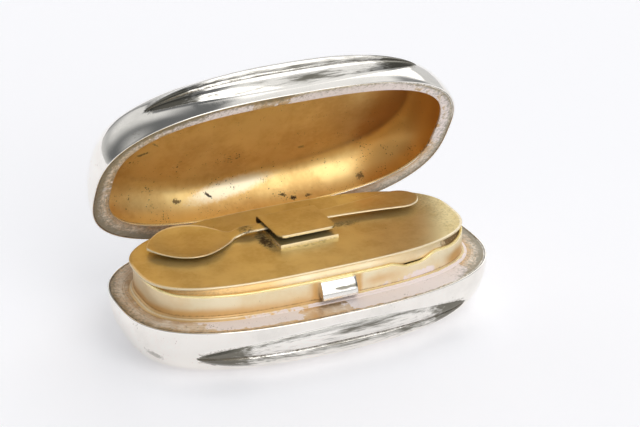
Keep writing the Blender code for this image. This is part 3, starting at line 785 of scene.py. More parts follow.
@dataclass
class Hinge:
    """A row of knuckles and its pin across the back."""

    prefix: str
    pin_name: str
    pin_piece: str
    y: float
    z: float
    length: float
    radius: float
    pin: float
    count: int
    still: Body
    moving: Body
    turn: Matrix | None = None
    clearance: float = 0.1
    gap: float = 0.2
    seat_room: float = 0.25
    knuckle_dirt: float = 0.35
    knuckle_edge: float = 0.08
    pin_dirt: float = 0.3
    pin_edge: float = 0.1

    def seat(self) -> bmesh.types.BMesh:
        """The round seat that the row lies in."""
        half = self.length / 2 + self.gap
        return round_bar(self.radius + self.seat_room, -half, half, self.y, self.z, 48)

    def build(self, finish: bpy.types.Material, slot: str) -> None:
        """Make the knuckles and the pin."""
        pitch = self.length / self.count
        for i in range(self.count):
            start = -self.length / 2 + i * pitch
            bm = tube(self.radius, self.pin + self.clearance, start + self.gap / 2,
                      start + pitch - self.gap / 2, self.y, self.z)
            moves = i % 2 == 1
            name = f"{self.prefix}_{i + 1}"
            piece = place_piece(f"{name}_dressed", bm, [finish], self.moving if moves else self.still,
                                [name], self.turn if moves else None)
            paint(piece, "dirt_and_shade", lambda p: self.knuckle_dirt)
            soften(piece, self.knuckle_edge)
        pin_bm = round_bar(self.pin, -self.length / 2, self.length / 2, self.y, self.z)
        pin = place_piece(self.pin_piece, pin_bm, [finish], self.still, [self.pin_name])
        paint(pin, "dirt_and_shade", lambda p: self.pin_dirt)
        soften(pin, self.pin_edge)


@dataclass
class Box:
    """Sizes shared by the sub-assemblies, in millimetres."""

    plan: Oval = field(default_factory=lambda: Oval(32.5, 18.3, 2.71))
    seam: float = 9.4
    seam_gap: float = 0.15
    wall: float = 0.55
    rim_thickness: float = 0.45
    rim_margin: float = 0.31
    rim_sink: float = 0.03
    opening: Oval = field(default_factory=lambda: Oval(29.65, 15.0, 2.9, -0.85))
    collar: Oval = field(default_factory=lambda: Oval(28.4, 12.9, 3.0))
    collar_wall: float = 0.5
    collar_top: float = 13.95
    hinge_y: float = 18.0
    open_angle: float = 59.7

    @property
    def hinge_z(self) -> float:
        """Height of the main hinge's axis."""
        return self.seam + self.seam_gap / 2

    @property
    def lid_plane(self) -> float:
        """Height of the shut lid's rim plane."""
        return self.seam + self.seam_gap

    @property
    def lid_turn(self) -> Matrix:
        """The turn from the shut lid to the open one."""
        return hinge_turn(self.hinge_y, self.hinge_z, math.radians(self.open_angle))


@dataclass
class Finishes:
    """The materials of the box."""

    silver: bpy.types.Material
    rim: bpy.types.Material
    gilt: bpy.types.Material
    leaf: bpy.types.Material
    pale_gilt: bpy.types.Material


@dataclass
class Halves:
    """The two shells with their rims and the main hinge."""

    box: Box
    finishes: Finishes
    base_lilac: tuple[tuple[float, float], ...] = (
        (-30, 0.25), (-24, 0.42), (-20, 0.68), (-8, 0.66), (-5, 0.35), (0, 0.3), (4, 0.8), (22, 0.85),
        (27, 0.3))
    lid_lilac: tuple[tuple[float, float], ...] = (
        (-30, 0.42), (-20, 0.5), (-16, 0.72), (-9, 0.68), (-7, 0.42), (-1, 0.45), (1, 0.85), (18, 0.85),
        (24, 0.55))
    base_dull: tuple[tuple[float, float], ...] = (
        (-31, 0.55), (-25, 0.3), (-14, 0.1), (19, 0.12), (26, 0.75), (31, 0.9))
    lid_dull: tuple[tuple[float, float], ...] = (
        (-30, 0.85), (-18, 0.9), (-14, 0.55), (-8, 0.55), (-5, 0.75), (2, 0.5), (16, 0.4), (26, 0.65))

    def hinge(self) -> Hinge:
        """The main hinge's sizes."""
        return Hinge("hinge_knuckle", "hinge_pin", "hinge_pin_dressed", self.box.hinge_y, self.box.hinge_z,
                     length=26.0, radius=1.15, pin=0.45, count=5, still=Body.BASE, moving=Body.LID,
                     turn=self.box.lid_turn)

    def dress_shell(self, piece: bpy.types.Object, shell: Shell, fit: Matrix,
                    turn: Matrix | None = None) -> None:
        """Paint a shell's soiling, its dark streaks, its painted shade and where its specks crowd.

        Args:
            piece: the shell.
            shell: its sizes.
            fit: the matrix that brings a place of the shut box back to the shell's drawing.
            turn: the turn that the shell was given about the hinge.
        """
        for name, rule in (("dirt_and_shade", shell.dirt_and_shade), ("tarnish_and_dark_reflection", shell.tarnish_and_dark_reflection), ("painted_shade", shell.painted_shade),
                           ("pitted", shell.pitted)):
            paint(piece, name, lambda p, rule=rule: rule(fit @ p), turn)

    def dress_rim(self, piece: bpy.types.Object, hole: Oval, front: Sequence[tuple[float, float]],
                  back: float, dulled: Sequence[tuple[float, float]], turn: Matrix | None = None) -> None:
        """Paint a rim's patches.

        Args:
            piece: the rim.
            hole: plan of its opening.
            front: lilac patches along the front, as places across the box with their strength.
            back: strength of the lilac patches at the back.
            dulled: grey tarnishing, as places across the box with its strength.
            turn: the turn that the rim was given about the hinge.
        """
        outer = self.box.plan.inset(self.box.rim_margin)

        def across(place: Vector) -> float:
            """0 at the opening and 1 at the outer edge."""
            return share_across(hole, outer, place)

        def lilac(place: Vector) -> float:
            """Strength of the lilac patches, which stop short of the outer edge."""
            strength = between(place.x, front)
            strength += (back - strength) * ramp(place.y, 2, 8)
            return strength - 0.5 * ramp(across(place), 0.8, 0.95)

        def gold_stain_and_shade(place: Vector) -> float:
            """Strength of the brown-gold stain, which lies next to the opening and at the edge."""
            right_end = (0.4 * ramp(across(place), 0.6, 0) - 0.15) * ramp(place.x, 20, 26)
            return 0.55 - 0.25 * blob(across(place), 0.5, 0.25) + 0.15 * blob(place.x, -3, 5) + right_end

        def dirt_and_shade(place: Vector) -> float:
            """Dirt along the outer edge of the rim."""
            return 0.5 * blob(across(place), 1.0, 0.07)

        def dull(place: Vector) -> float:
            """Grey tarnishing, stronger towards the outer edge."""
            return between(place.x, dulled) * (0.5 + 0.6 * ramp(across(place), 0.4, 1.0))

        def painted_highlight(place: Vector) -> float:
            """Painted highlight: a bright line on the opening's back edge and along the front's outer edge.
            """
            front_edge = 0.75 * blob(across(place), 0.97, 0.05) * ramp(place.x, -5, 1) * ramp(place.y, 0, -5)
            return 0.95 * blob(across(place), 0.0, 0.06) * ramp(place.y, 3, 8) + front_edge

        for name, rule in (("lilac", lilac), ("gold_stain_and_shade", gold_stain_and_shade), ("dirt_and_shade", dirt_and_shade), ("dull", dull),
                           ("painted_highlight", painted_highlight), ("across", across)):
            paint(piece, name, rule, turn)

    def build_base(self) -> None:
        """The lower shell and its rim."""
        box, hinge = self.box, self.hinge()
        shell = Shell(wall=box.wall, reeds=Reeds(reach=24.1, centre=-0.3))
        bm = shell.build()
        bmesh.ops.translate(bm, vec=(0, 0, box.seam), verts=bm.verts)
        piece = place_piece("base_shell_dressed", bm, [self.finishes.silver, self.finishes.gilt], Body.BASE,
                            ["base_shell"])
        carve(piece, hinge.seat())
        self.dress_shell(piece, shell, Matrix.Translation((0, 0, -box.seam)))
        hole = box.collar.inset(box.collar_wall)
        bm = ring_strip(box.plan.inset(box.rim_margin), hole, box.seam - box.rim_sink,
                        box.seam - box.rim_thickness, 0.06)
        rim = place_piece("base_rim_dressed", bm, [self.finishes.rim], Body.BASE, ["base_rim"])
        carve(rim, hinge.seat())
        self.dress_rim(rim, FootBand(box).outer, self.base_lilac, 0.3, self.base_dull)

    def painted_highlight_streak(self, place: Vector) -> float:
        """Painted highlight: a pale streak across the inside of the open lid, rising to the right."""
        slope = 0.115
        streak = 0.85 * blob(place.z - slope * place.x, 15.4, 1.9)
        return streak * blob(place.x, -3, 10) * ramp(place.y, 19, 21)

    def build_lid(self) -> None:
        """The upper shell and its rim, turned open."""
        box, hinge = self.box, self.hinge()
        shell = Shell(wall=box.wall, crown=0.15)
        flip = Matrix.Translation((0, 0, box.lid_plane)) @ Matrix.Scale(-1, 4, (0, 0, 1))
        bm = shell.build()
        bmesh.ops.transform(bm, matrix=flip, verts=bm.verts)
        piece = place_piece("lid_shell_dressed", bm, [self.finishes.silver, self.finishes.gilt], Body.LID,
                            ["lid_shell"], box.lid_turn)
        carve(piece, hinge.seat(), box.lid_turn)
        self.dress_shell(piece, shell, flip.inverted(), box.lid_turn)
        # A painted highlight streak across the inside of the lid.
        paint(piece, "painted_highlight", self.painted_highlight_streak)
        bm = ring_strip(box.plan.inset(box.rim_margin), box.opening, -box.rim_sink, -box.rim_thickness, 0.09)
        bmesh.ops.transform(bm, matrix=flip, verts=bm.verts)
        rim = place_piece("lid_rim_dressed", bm, [self.finishes.rim], Body.LID, ["lid_rim"],
                          box.lid_turn)
        carve(rim, hinge.seat(), box.lid_turn)
        self.dress_rim(rim, box.opening, self.lid_lilac, 0.2, self.lid_dull, box.lid_turn)

    def build(self) -> None:
        """Make both halves and their hinge."""
        self.build_base()
        self.build_lid()
        self.hinge().build(self.finishes.silver, "silver")


@dataclass
class FootBand:
    """The uneven band of solder round the collar's foot, sloping down to the rim in low ridges."""

    box: Box
    outer: Oval = field(default_factory=lambda: Oval(29.35, 13.8, 2.8, -0.25))
    height: float = 0.45
    slope_power: float = 1.6
    ridges: float = 2.5
    ridge_height: float = 0.035
    unevenness: float = 0.04
    lump: float = 1.6
    edge_height: float = 0.09
    edge_power: float = 6
    overlap: float = 0.02
    sink: float = 0.1
    steps: int = 16

    @property
    def inner(self) -> Oval:
        """Plan of the band's inner edge, just inside the collar."""
        return self.box.collar.inset(-self.overlap)

    def point(self, angle: float, share: float) -> Vector:
        """A point of the band's top, from the collar at share 0 to its outer edge at 1."""
        base = self.inner.point(angle, 0).lerp(self.outer.point(angle, 0), share)
        between_edges = math.sin(math.pi * share)
        slope = self.height * (1 - share) ** self.slope_power
        fall = slope + self.edge_height * (1 - share ** self.edge_power)
        wave = self.ridge_height * math.cos(TURN * self.ridges * share) * between_edges
        base.z = self.box.seam + fall + wave + self.unevenness * ripple(base, self.lump) * between_edges
        return base

    def build(self, finish: bpy.types.Material) -> None:
        """Make the band."""
        foot = self.box.seam - self.sink
        rows: list[PlanRow] = [lambda a: self.inner.point(a, foot)]
        for k in range(self.steps + 1):
            rows.append(lambda a, s=k / self.steps: self.point(a, s))
        rows.append(lambda a: self.outer.point(a, foot))
        band = place_piece("foot_band_dressed", wrap(360, rows, joined=True), [finish], Body.BASE,
                           ["foot_wire"])

        def share(place: Vector) -> float:
            """0 at the collar and 1 at the outer edge."""
            return share_across(self.box.collar, self.outer, place)

        def lilac(place: Vector) -> float:
            """Lilac patches, away from the collar and from the left end."""
            front = 0.4 * blob(place.x, 12, 10) * ramp(place.y, 0, -4)
            return 0.3 * ramp(place.x, -20, -14) + (front + 0.25) * ramp(share(place), 0.3, 0.6)

        def painted_highlight(place: Vector) -> float:
            """Painted highlight: bright metal along the outer edge and on the first ridge, more of it on the
            right.
            """
            ridge = (0.3 + 0.4 * ramp(place.x, 0, 4)) * blob(share(place), 0.25, 0.12)
            return 0.42 * blob(share(place), 0.98, 0.06) + ridge

        paint(band, "dirt_and_shade", lambda p: 0.3 * blob(share(p), 0.35, 0.12))
        paint(band, "gold_stain_and_shade", lambda p: 0.8 - 0.4 * blob(share(p), 0.6, 0.2) - 0.2 * ramp(p.x, 2, 6))
        paint(band, "lilac", lilac)
        paint(band, "painted_highlight", painted_highlight)


@dataclass
class Collar:
    """The gilt wall on the base rim, with its foot band and the front catch."""

    box: Box
    finishes: Finishes
    cut_depth: float = 1.45
    cut: tuple[tuple[float, float], ...] = (
        (-0.99, 0.0), (-0.88, 0.25), (-0.5, 0.38), (0.38, 0.4), (0.49, 1.0), (0.57, 1.0), (0.7, 0.3),
        (0.83, 0.5), (1.0, 0.0))
    edge: float = 0.12
    catch_width: float = 6.3
    catch_x: float = 0.8
    catch_foot: float = 0.7
    catch_height: float = 2.95
    catch_lip: float = 0.3
    catch_bulge: float = 1.4
    catch_sink: float = 0.1
    catch_stand: float = 0.1
    catch_round: float = 0.14
    foot_lift: float = 0.02

    def top(self, point: Vector) -> float:
        """Height of the wall's upper edge above a plan point."""
        if point.y > 0:
            return self.box.collar_top
        waver = 0.05 * ripple(point, 2.5) * ramp(point.y, 0, -6)
        cut = self.cut_depth * between(point.x / self.box.collar.half_x, self.cut)
        return self.box.collar_top - cut + waver

    def wall(self) -> bmesh.types.BMesh:
        """The wall's mesh, with a rounded top edge that follows the cut."""
        outer = self.box.collar
        inner = outer.inset(self.box.collar_wall)
        foot, levels = self.box.seam + self.foot_lift, 8
        rows: list[PlanRow] = [lambda a: inner.point(a, foot), lambda a: outer.point(a, foot)]
        for k in range(1, levels + 1):
            rows.append(lambda a, share=k / levels: self.level(outer, a, foot, share))
        for turn in (30, 60, 90):
            rows.append(lambda a, turn=turn: self.edge_point(outer, a, self.edge, turn))
        for turn in (90, 60, 30):
            rows.append(lambda a, turn=turn: self.edge_point(inner, a, -self.edge, turn))
        rows.append(lambda a: self.level(inner, a, foot, 1.0))
        return wrap(360, rows, joined=True)

    def level(self, oval: Oval, angle: float, foot: float, share: float) -> Vector:
        """A point up the wall, from its foot at share 0 to just below its edge at 1."""
        point = oval.point(angle, foot)
        point.z = foot + (self.top(point) - self.edge - foot) * share
        return point

    def edge_point(self, oval: Oval, angle: float, edge: float, turn: float) -> Vector:
        """A point round the wall's upper edge."""
        rad = math.radians(turn)
        top = self.top(oval.point(angle, 0))
        return oval.inset(edge * (1 - math.cos(rad))).point(angle, top - abs(edge) * (1 - math.sin(rad)))

    def catch(self) -> bmesh.types.BMesh:
        """The lug: a side profile that swells out in a quarter round, pulled out along X."""
        left = self.catch_x - self.catch_width / 2
        wall_y = -self.box.collar.half_y + self.catch_sink
        front = -self.box.collar.half_y - self.catch_stand
        foot, height, low_round = self.box.seam + self.catch_foot, self.catch_height, self.catch_round
        swell_steps, round_steps, bands = 24, 5, 10
        bm = bmesh.new()
        profile = [bm.verts.new((left, wall_y, foot + height))]
        for k in range(swell_steps + 1):
            share = k / swell_steps
            out = self.catch_lip + (self.catch_bulge - self.catch_lip) * math.sin(math.pi / 2 * share)
            profile.append(bm.verts.new((left, front - out, foot + height - (height - low_round) * share)))
        for k in range(1, round_steps + 1):
            turn = math.pi / 2 * k / round_steps
            profile.append(bm.verts.new((left, front - self.catch_bulge + low_round * (1 - math.cos(turn)),
                                         foot + low_round * (1 - math.sin(turn)))))
        profile.append(bm.verts.new((left, wall_y, foot)))
        face = bm.faces.new(profile)
        pulled = bmesh.ops.extrude_face_region(bm, geom=[face])
        moved = [item for item in pulled["geom"] if isinstance(item, bmesh.types.BMVert)]
        bmesh.ops.translate(bm, vec=(self.catch_width, 0, 0), verts=moved)
        for k in range(1, bands):
            bmesh.ops.bisect_plane(bm, geom=bm.verts[:] + bm.edges[:] + bm.faces[:],
                                   plane_co=(left + self.catch_width * k / bands, 0, 0), plane_no=(1, 0, 0))
        return bm

    def beside_catch(self, place: Vector, gap: float, left_width: float, right_width: float) -> float:
        """A pair of humps, one on either side of the catch at a gap from it."""
        reach = self.catch_width / 2 + gap
        return (blob(place.x, self.catch_x - reach, left_width)
                + blob(place.x, self.catch_x + reach, right_width))

    def gold_stain_and_shade(self, place: Vector) -> float:
        """Brown-gold colour: painted shade deepest at the foot, beside the catch and at the right end; also
        some at the left end and a patch right of the catch.
        """
        foot = self.box.seam + 0.3
        low = 1.1 * ramp(place.z, foot + 2.6, foot) * (0.65 + 0.35 * ramp(place.x, -8, -20))
        if 5 <= place.x <= 23:
            low *= 0.45
        corner = 1.1 * blob(place.x, 24.8, 3.0) * ramp(place.z, foot + 3.2, foot + 0.8)
        left_end = 0.4 * ramp(place.x, -21, -25)
        right = 0.62 * blob(place.x, 8.5, 4.5) * blob(place.z, foot + 1.6, 1.1)
        return max(low, 0.95 * self.beside_catch(place, 0.65, 1.1, 0.9), corner, left_end, right)

    def lilac(self, place: Vector) -> float:
        """Lilac patches low on the wall, right of the catch."""
        seam = self.box.seam
        return (0.62 * blob(place.x, 17.5, 4.5) * ramp(place.z, seam + 2.6, seam + 1.2)
                + 0.42 * blob(place.x, 9, 5) * ramp(place.z, seam + 2.6, seam + 1.0))

    def dirt_and_shade(self, place: Vector) -> float:
        """Dirt along the foot and close beside the catch."""
        seam = self.box.seam
        return 0.5 * ramp(place.z, seam + 0.85, seam + 0.35) + 0.55 * self.beside_catch(place, 0.15, 0.3, 0.3)

    def painted_highlight(self, place: Vector) -> float:
        """Painted highlight: a bright line along the upper edge."""
        top = self.top(place)
        return 0.9 * ramp(place.z, top - 0.28, top - 0.16)

    def tarnish_and_dark_reflection(self, place: Vector) -> float:
        """Painted dark reflection: a wavering dark band across the catch, fading out to the left."""
        streak = self.box.seam + self.catch_foot + 1.7 + 0.12 * ripple(place, 0.8)
        return 0.78 * blob(place.z, streak, 0.4) * ramp(place.x, self.catch_x - 1.8, self.catch_x - 0.3)

    def build(self) -> None:
        """Make the wall, the foot band and the catch."""
        wall = place_piece("collar_dressed", self.wall(), [self.finishes.pale_gilt], Body.BASE,
                           ["collar"])
        for name, rule in (("gold_stain_and_shade", self.gold_stain_and_shade), ("painted_highlight", self.painted_highlight), ("lilac", self.lilac),
                           ("dirt_and_shade", self.dirt_and_shade)):
            paint(wall, name, rule)
        FootBand(self.box).build(self.finishes.pale_gilt)
        lug = place_piece("front_catch_dressed", self.catch(), [self.finishes.silver], Body.BASE,
                          ["front_catch"])
        foot = self.box.seam + self.catch_foot
        paint(lug, "dirt_and_shade", lambda p: 0.5 * ramp(p.z, foot + 0.3, foot))
        # A painted dark reflection: a dark band across the catch.
        paint(lug, "tarnish_and_dark_reflection", self.tarnish_and_dark_reflection)
        soften(lug, self.edge, segments=3, angle=50)


@dataclass
class InnerLid:
    """The flat inner lid with its skirt, hinge and folded clip."""

    box: Box
    finishes: Finishes
    plate: Oval = field(default_factory=lambda: Oval(28.95, 12.975, 3.0, 1.025, 2.6))
    skirt: Oval = field(default_factory=lambda: Oval(27.84, 12.3, 3.0, -0.03))
    bottom: float = 14.05
    thickness: float = 0.45
    edge: float = 0.12
    crown: float = 0.16
    skirt_height: float = 1.65
    skirt_bend: float = 0.8
    skirt_overlap: float = 0.1
    skirt_gap: float = 27.0
    clip_x: float = 0.85
    clip_half: float = 5.25
    clip_back: float = 8.3
    clip_length: float = 10.5
    clip_leaf: float = 0.73
    clip_opening: float = 0.8
    clip_flap: float = 0.45
    clip_setback: float = 0.8
    clip_corner: float = 1.3
    clip_lip: float = 0.22
    clip_room: float = 0.02

    def hinge(self) -> Hinge:
        """The inner lid's hinge."""
        return Hinge("inner_knuckle", "inner_hinge_pin", "inner_pin_dressed", y=13.5, z=13.45, length=18.0,
                     radius=0.5, pin=0.22, count=3, still=Body.BASE, moving=Body.INNER_LID)

    @property
    def top(self) -> float:
        """Height of the plate's upper face."""
        return self.bottom + self.thickness

    def raise_crown(self, vert: bmesh.types.BMVert) -> None:
        """Lift a point by the plate's crown, which is highest in the middle."""
        vert.co.z += self.crown * (1 - (vert.co.x / self.plate.half_x) ** 2)

    def plate_mesh(self) -> bmesh.types.BMesh:
        """The plate, barely crowned, with a rounded edge."""
        steps = 40
        rows: list[PlanRow] = []
        for share in (0.0, 0.5, 1.0):
            rows.append(lambda a, s=share: self.level(a, s, self.bottom))
        rows += rounded(self.plate, self.top - self.edge, self.edge, 0, 90, 4)
        for k in range(steps - 1, -1, -1):
            rows.append(lambda a, s=k / steps: self.level(a, s, self.top))
        bm = wrap(288, rows, joined=False)
        for vert in bm.verts:
            self.raise_crown(vert)
        return bm

    def level(self, angle: float, share: float, z: float) -> Vector:
        """A point of the plate's face, at a share of the way out from its middle."""
        edge = self.plate.inset(self.edge).point(angle, z)
        return Vector((edge.x * share, self.plate.shift_y + (edge.y - self.plate.shift_y) * share, z))

    def skirt_mesh(self) -> bmesh.types.BMesh:
        """The turned-down lip, open at the back, leaning out from under the plate's edge."""
        top = self.bottom + self.skirt_overlap
        low, bend = top - self.skirt_height, top - self.skirt_bend
        outer, inner, lean = -0.02, 0.4, 0.8
        corners = ((outer, low), (outer, bend), (inner, top), (lean, top), (inner, bend), (inner, low))
        gap, columns = math.radians(self.skirt_gap), 200
        start, end = math.pi - gap, TURN + gap
        bm = bmesh.new()
        bmesh.ops.create_grid(bm, x_segments=columns, y_segments=len(corners), size=1)
        bm.verts.ensure_lookup_table()
        for index, vert in enumerate(bm.verts):
            row, column = divmod(index, columns + 1)
            inset, z = corners[row % len(corners)]
            vert.co = self.skirt.inset(inset).point(start + (end - start) * column / columns, z)
            self.raise_crown(vert)
        bmesh.ops.remove_doubles(bm, verts=bm.verts, dist=1e-5)
        bmesh.ops.holes_fill(bm, edges=bm.edges, sides=len(corners))
        return bm

    def clip_mesh(self) -> bmesh.types.BMesh:
        """The folded clip: its side profile pulled out along X, the flap's corners rounded."""
        leaf, flap, lip, corner = self.clip_leaf, self.clip_flap, self.clip_lip, self.clip_corner
        low = self.top + self.clip_room
        outer, inner = (leaf + self.clip_opening + flap) / 2, self.clip_opening / 2
        bend = self.clip_back - outer
        leaf_front = self.clip_back - self.clip_length
        corner_steps, bend_steps = 8, 20
        stations: list[tuple[float, float]] = []
        for k in range(corner_steps + 1):
            turn = math.pi / 2 * k / corner_steps
            stations.append((self.clip_half - corner * (1 - math.sin(turn)), corner * (1 - math.cos(turn))))
        stations = [(-x, b) for x, b in reversed(stations)] + stations

        def fold(radius: float, height: float, side: int) -> list[tuple[float, float]]:
            """Points round the fold at a radius, going up where side is 1 and down where it is -1."""
            turns = [side * (math.pi * k / bend_steps - math.pi / 2) for k in range(bend_steps + 1)]
            return [(bend + radius * math.cos(t), height + radius + radius * math.sin(t)) for t in turns]

        bm = bmesh.new()
        rings: list[list[bmesh.types.BMVert]] = []
        for along, setoff in stations:
            front, high = leaf_front + self.clip_setback + setoff, low + 2 * outer
            points = [(leaf_front, low), *fold(outer, low, 1), (front + lip, high), (front, high),
                      (front, high - flap), (front + lip, high - flap), *fold(inner, low + leaf, -1),
                      (leaf_front + lip, low + leaf), (leaf_front, low + leaf)]
            rings.append([bm.verts.new((self.clip_x + along, y, z)) for y, z in points])
        for ring in rings:
            for near, far in zip(ring, ring[1:] + ring[:1]):
                bm.edges.new((near, far))
        for near, far in zip(rings, rings[1:]):
            edges = [edge for ring in (near, far) for vert in ring for edge in vert.link_edges
                     if edge.other_vert(vert) in ring]
            bmesh.ops.bridge_loops(bm, edges=list(dict.fromkeys(edges)))
        bm.faces.new(rings[0])
        bm.faces.new(rings[-1])
        return bm

    def plate_dirt_and_shadow(self, place: Vector) -> float:
        """Dirt specks and painted shadow round the clip's left end, in front of it and in front of the handle
        right of it; darker at the plate's right end.
        """
        left_x, right_x = self.clip_x - self.clip_half - 1.2, self.clip_x + self.clip_half + 3.0
        front_y = self.clip_back - self.clip_length - 0.5
        left = 0.75 * blob(place.x, left_x, 1.3) * blob(place.y, 1.5, 3.4)
        front = 0.35 * blob(place.y, front_y, 0.6) * blob(place.x, 1, 6)
        right = 0.45 * blob(place.x, right_x, 3.5) * blob(place.y, 2.2, 1.3)
        return left + front + right + 0.24 * ramp(place.x, 18, 26)

    def plate_highlight(self, place: Vector) -> float:
        """Painted highlight round the plate's rim and upper edge."""
        near_edge = ramp(self.plate.inset(0.3).reach(place), 1.0, 1.006)
        return 0.9 * near_edge * ramp(place.z, self.bottom - 0.05, self.bottom + 0.05)

    def clip_shade(self, place: Vector) -> float:
        """Painted shade: dark inside the fold and some along the clip's foot."""
        flap_front = self.clip_back - self.clip_length + self.clip_setback
        if self.top + 0.7 < place.z < self.top + 1.6 and place.y > flap_front + 0.2:
            return 0.95
        return 0.4 * ramp(place.z, self.top + 0.4, self.top)

    def clip_highlight(self, place: Vector) -> float:
        """Painted highlight on the front edges of the leaf and the flap."""
        front = self.clip_back - self.clip_length + (0 if place.z < self.top + 1.2 else self.clip_setback)
        return 0.85 if place.y < front + 0.1 else 0.0

    def build(self) -> None:
        """Make the plate, the skirt, the clip and the hinge."""
        plate = place_piece("inner_lid_dressed", self.plate_mesh(), [self.finishes.leaf], Body.INNER_LID,
                            ["inner_lid_plate"])
        paint(plate, "dirt_and_shade", self.plate_dirt_and_shadow)
        # Painted shade: deeper gold on the plate right of the clip.
        paint(plate, "painted_shade", lambda p: 0.25 * blob(p.x, 8, 6) * blob(p.y, 0, 4))
        paint(plate, "painted_highlight", self.plate_highlight)
        skirt = place_piece("skirt_dressed", self.skirt_mesh(), [self.finishes.pale_gilt], Body.INNER_LID,
                            ["inner_lid_skirt"])
        # Light soiling all along; painted shade towards the left end and dark painted shade at the right end,
        # under the plate's edge.
        paint(skirt, "dirt_and_shade", lambda p: 0.14 + 0.1 * ramp(p.x, -12, -18) + 0.85 * ramp(p.x, 20, 24))
        # Brown-gold all along, deepened by painted shade at the left end under the plate.
        paint(skirt, "gold_stain_and_shade", lambda p: 0.42 + 0.7 * ramp(p.x, -7, -14))
        soften(skirt, self.edge / 2)
        clip = place_piece("clip_dressed", self.clip_mesh(), [self.finishes.leaf], Body.INNER_LID,
                           ["spoon_clip"])
        paint(clip, "dirt_and_shade", self.clip_shade)
        paint(clip, "painted_highlight", self.clip_highlight)
        soften(clip, 0.1, angle=40)
        self.hinge().build(self.finishes.leaf, "gilt")


@dataclass
class Spoon:
    """The spoon: leaf bowl, narrow neck and widening handle."""

    finishes: Finishes
    tip_x: float = -25.25
    length: float = 49.65
    tip_y: float = 4.95
    end_y: float = 5.35
    bowl: float = 15.6
    bowl_width: float = 12.6
    peak_power: float = 0.9
    fullness: float = 0.8
    neck: float = 17.6
    neck_width: float = 2.5
    handle_width: float = 6.6
    handle_widest: float = 45.65
    flare: float = 2.6
    thickness: float = 0.5
    dish: float = 0.8
    dish_power: float = 3.4
    side_power: float = 0.6
    face_power: float = 0.7
    highlight_edge: float = 0.42
    highlight_bowl: float = 0.25
    clearance: float = 0.15
    plate_top: float = 14.5
    leaf_top: float = 15.25

    def half_width(self, along: float) -> float:
        """Half the spoon's width at a distance from its point."""
        flare = min(1.0, max(0.0, (along - self.neck) / (self.handle_widest - self.neck))) ** self.flare
        half = (self.neck_width + (self.handle_width - self.neck_width) * flare) / 2
        to_end = self.length - along
        if to_end < half:
            half = math.sqrt(max(half ** 2 - (half - to_end) ** 2, 0.0))
        leaf = 0.0
        if along < self.bowl:
            leaf = math.sin(math.pi * (along / self.bowl) ** self.peak_power)
            leaf = self.bowl_width / 2 * max(leaf, 0.0) ** self.fullness
            half *= ease(along / self.bowl)
        return (leaf ** 4 + half ** 4) ** 0.25

    def point(self, along: float, turn: float) -> Vector:
        """A point round the cross-section at a distance from the spoon's point."""
        half = self.half_width(along)
        across = math.copysign(abs(math.cos(turn)) ** self.side_power, math.cos(turn))
        y = self.tip_y + (self.end_y - self.tip_y) * along / self.length
        rise_start = self.bowl * self.peak_power
        rise = ease((along - rise_start) / (self.neck - rise_start))
        low = self.plate_top + self.clearance + (self.leaf_top - self.plate_top) * rise
        hollow = ease(math.sin(math.pi * min(along / self.bowl, 1.0)))
        rim = self.dish * (1 - ease(along / self.neck))
        lift = low + rim * (1 - hollow) + self.dish * hollow * abs(across) ** self.dish_power
        thick = self.thickness / 2
        edge = math.copysign(abs(math.sin(turn)) ** self.face_power, math.sin(turn))
        return Vector((self.tip_x + along, y + half * across, lift + thick + thick * edge))

    def painted_highlight(self, place: Vector) -> float:
        """Painted highlight along the spoon's edges, widest on the bowl."""
        along = min(max(place.x - self.tip_x, 0.0), self.length)
        middle = self.tip_y + (self.end_y - self.tip_y) * along / self.length
        wide = self.highlight_edge + self.highlight_bowl * blob(along, self.bowl * 0.6, 5)
        edge = self.half_width(along)
        return 0.66 * ramp(abs(place.y - middle), edge - wide, edge - wide + 0.25)

    def build(self) -> None:
        """Make the spoon."""
        around, steps = 40, 160
        bm = bmesh.new()
        bmesh.ops.create_grid(bm, x_segments=around, y_segments=steps, size=1)
        bm.verts.ensure_lookup_table()
        for index, vert in enumerate(bm.verts):
            row, column = divmod(index, around + 1)
            share = (1 - math.cos(math.pi * row / steps)) / 2
            vert.co = self.point(self.length * share, TURN * (column % around) / around)
        bmesh.ops.remove_doubles(bm, verts=bm.verts, dist=1e-4)
        bmesh.ops.holes_fill(bm, edges=bm.edges)
        spoon = place_piece("spoon_dressed", bm, [self.finishes.leaf], Body.SPOON, ["spoon"])
        neck = self.tip_x + self.neck
        paint(spoon, "dirt_and_shade", lambda p: 0.45 * blob(p.x, neck, 1.6) + 0.12 * blob(p.x, neck - 6, 3))
        # Painted shade: deeper gold towards the handle's end.
        paint(spoon, "painted_shade", lambda p: 0.3 * ramp(p.x, 4, 18))
        paint(spoon, "painted_highlight", self.painted_highlight)


@dataclass(frozen=True)
class Softbox:
    """A bright panel of the surroundings, in degrees right of the front and above the table."""

    left: float
    right: float
    low: float
    high: float
    level: float
    edge: float = 3.0


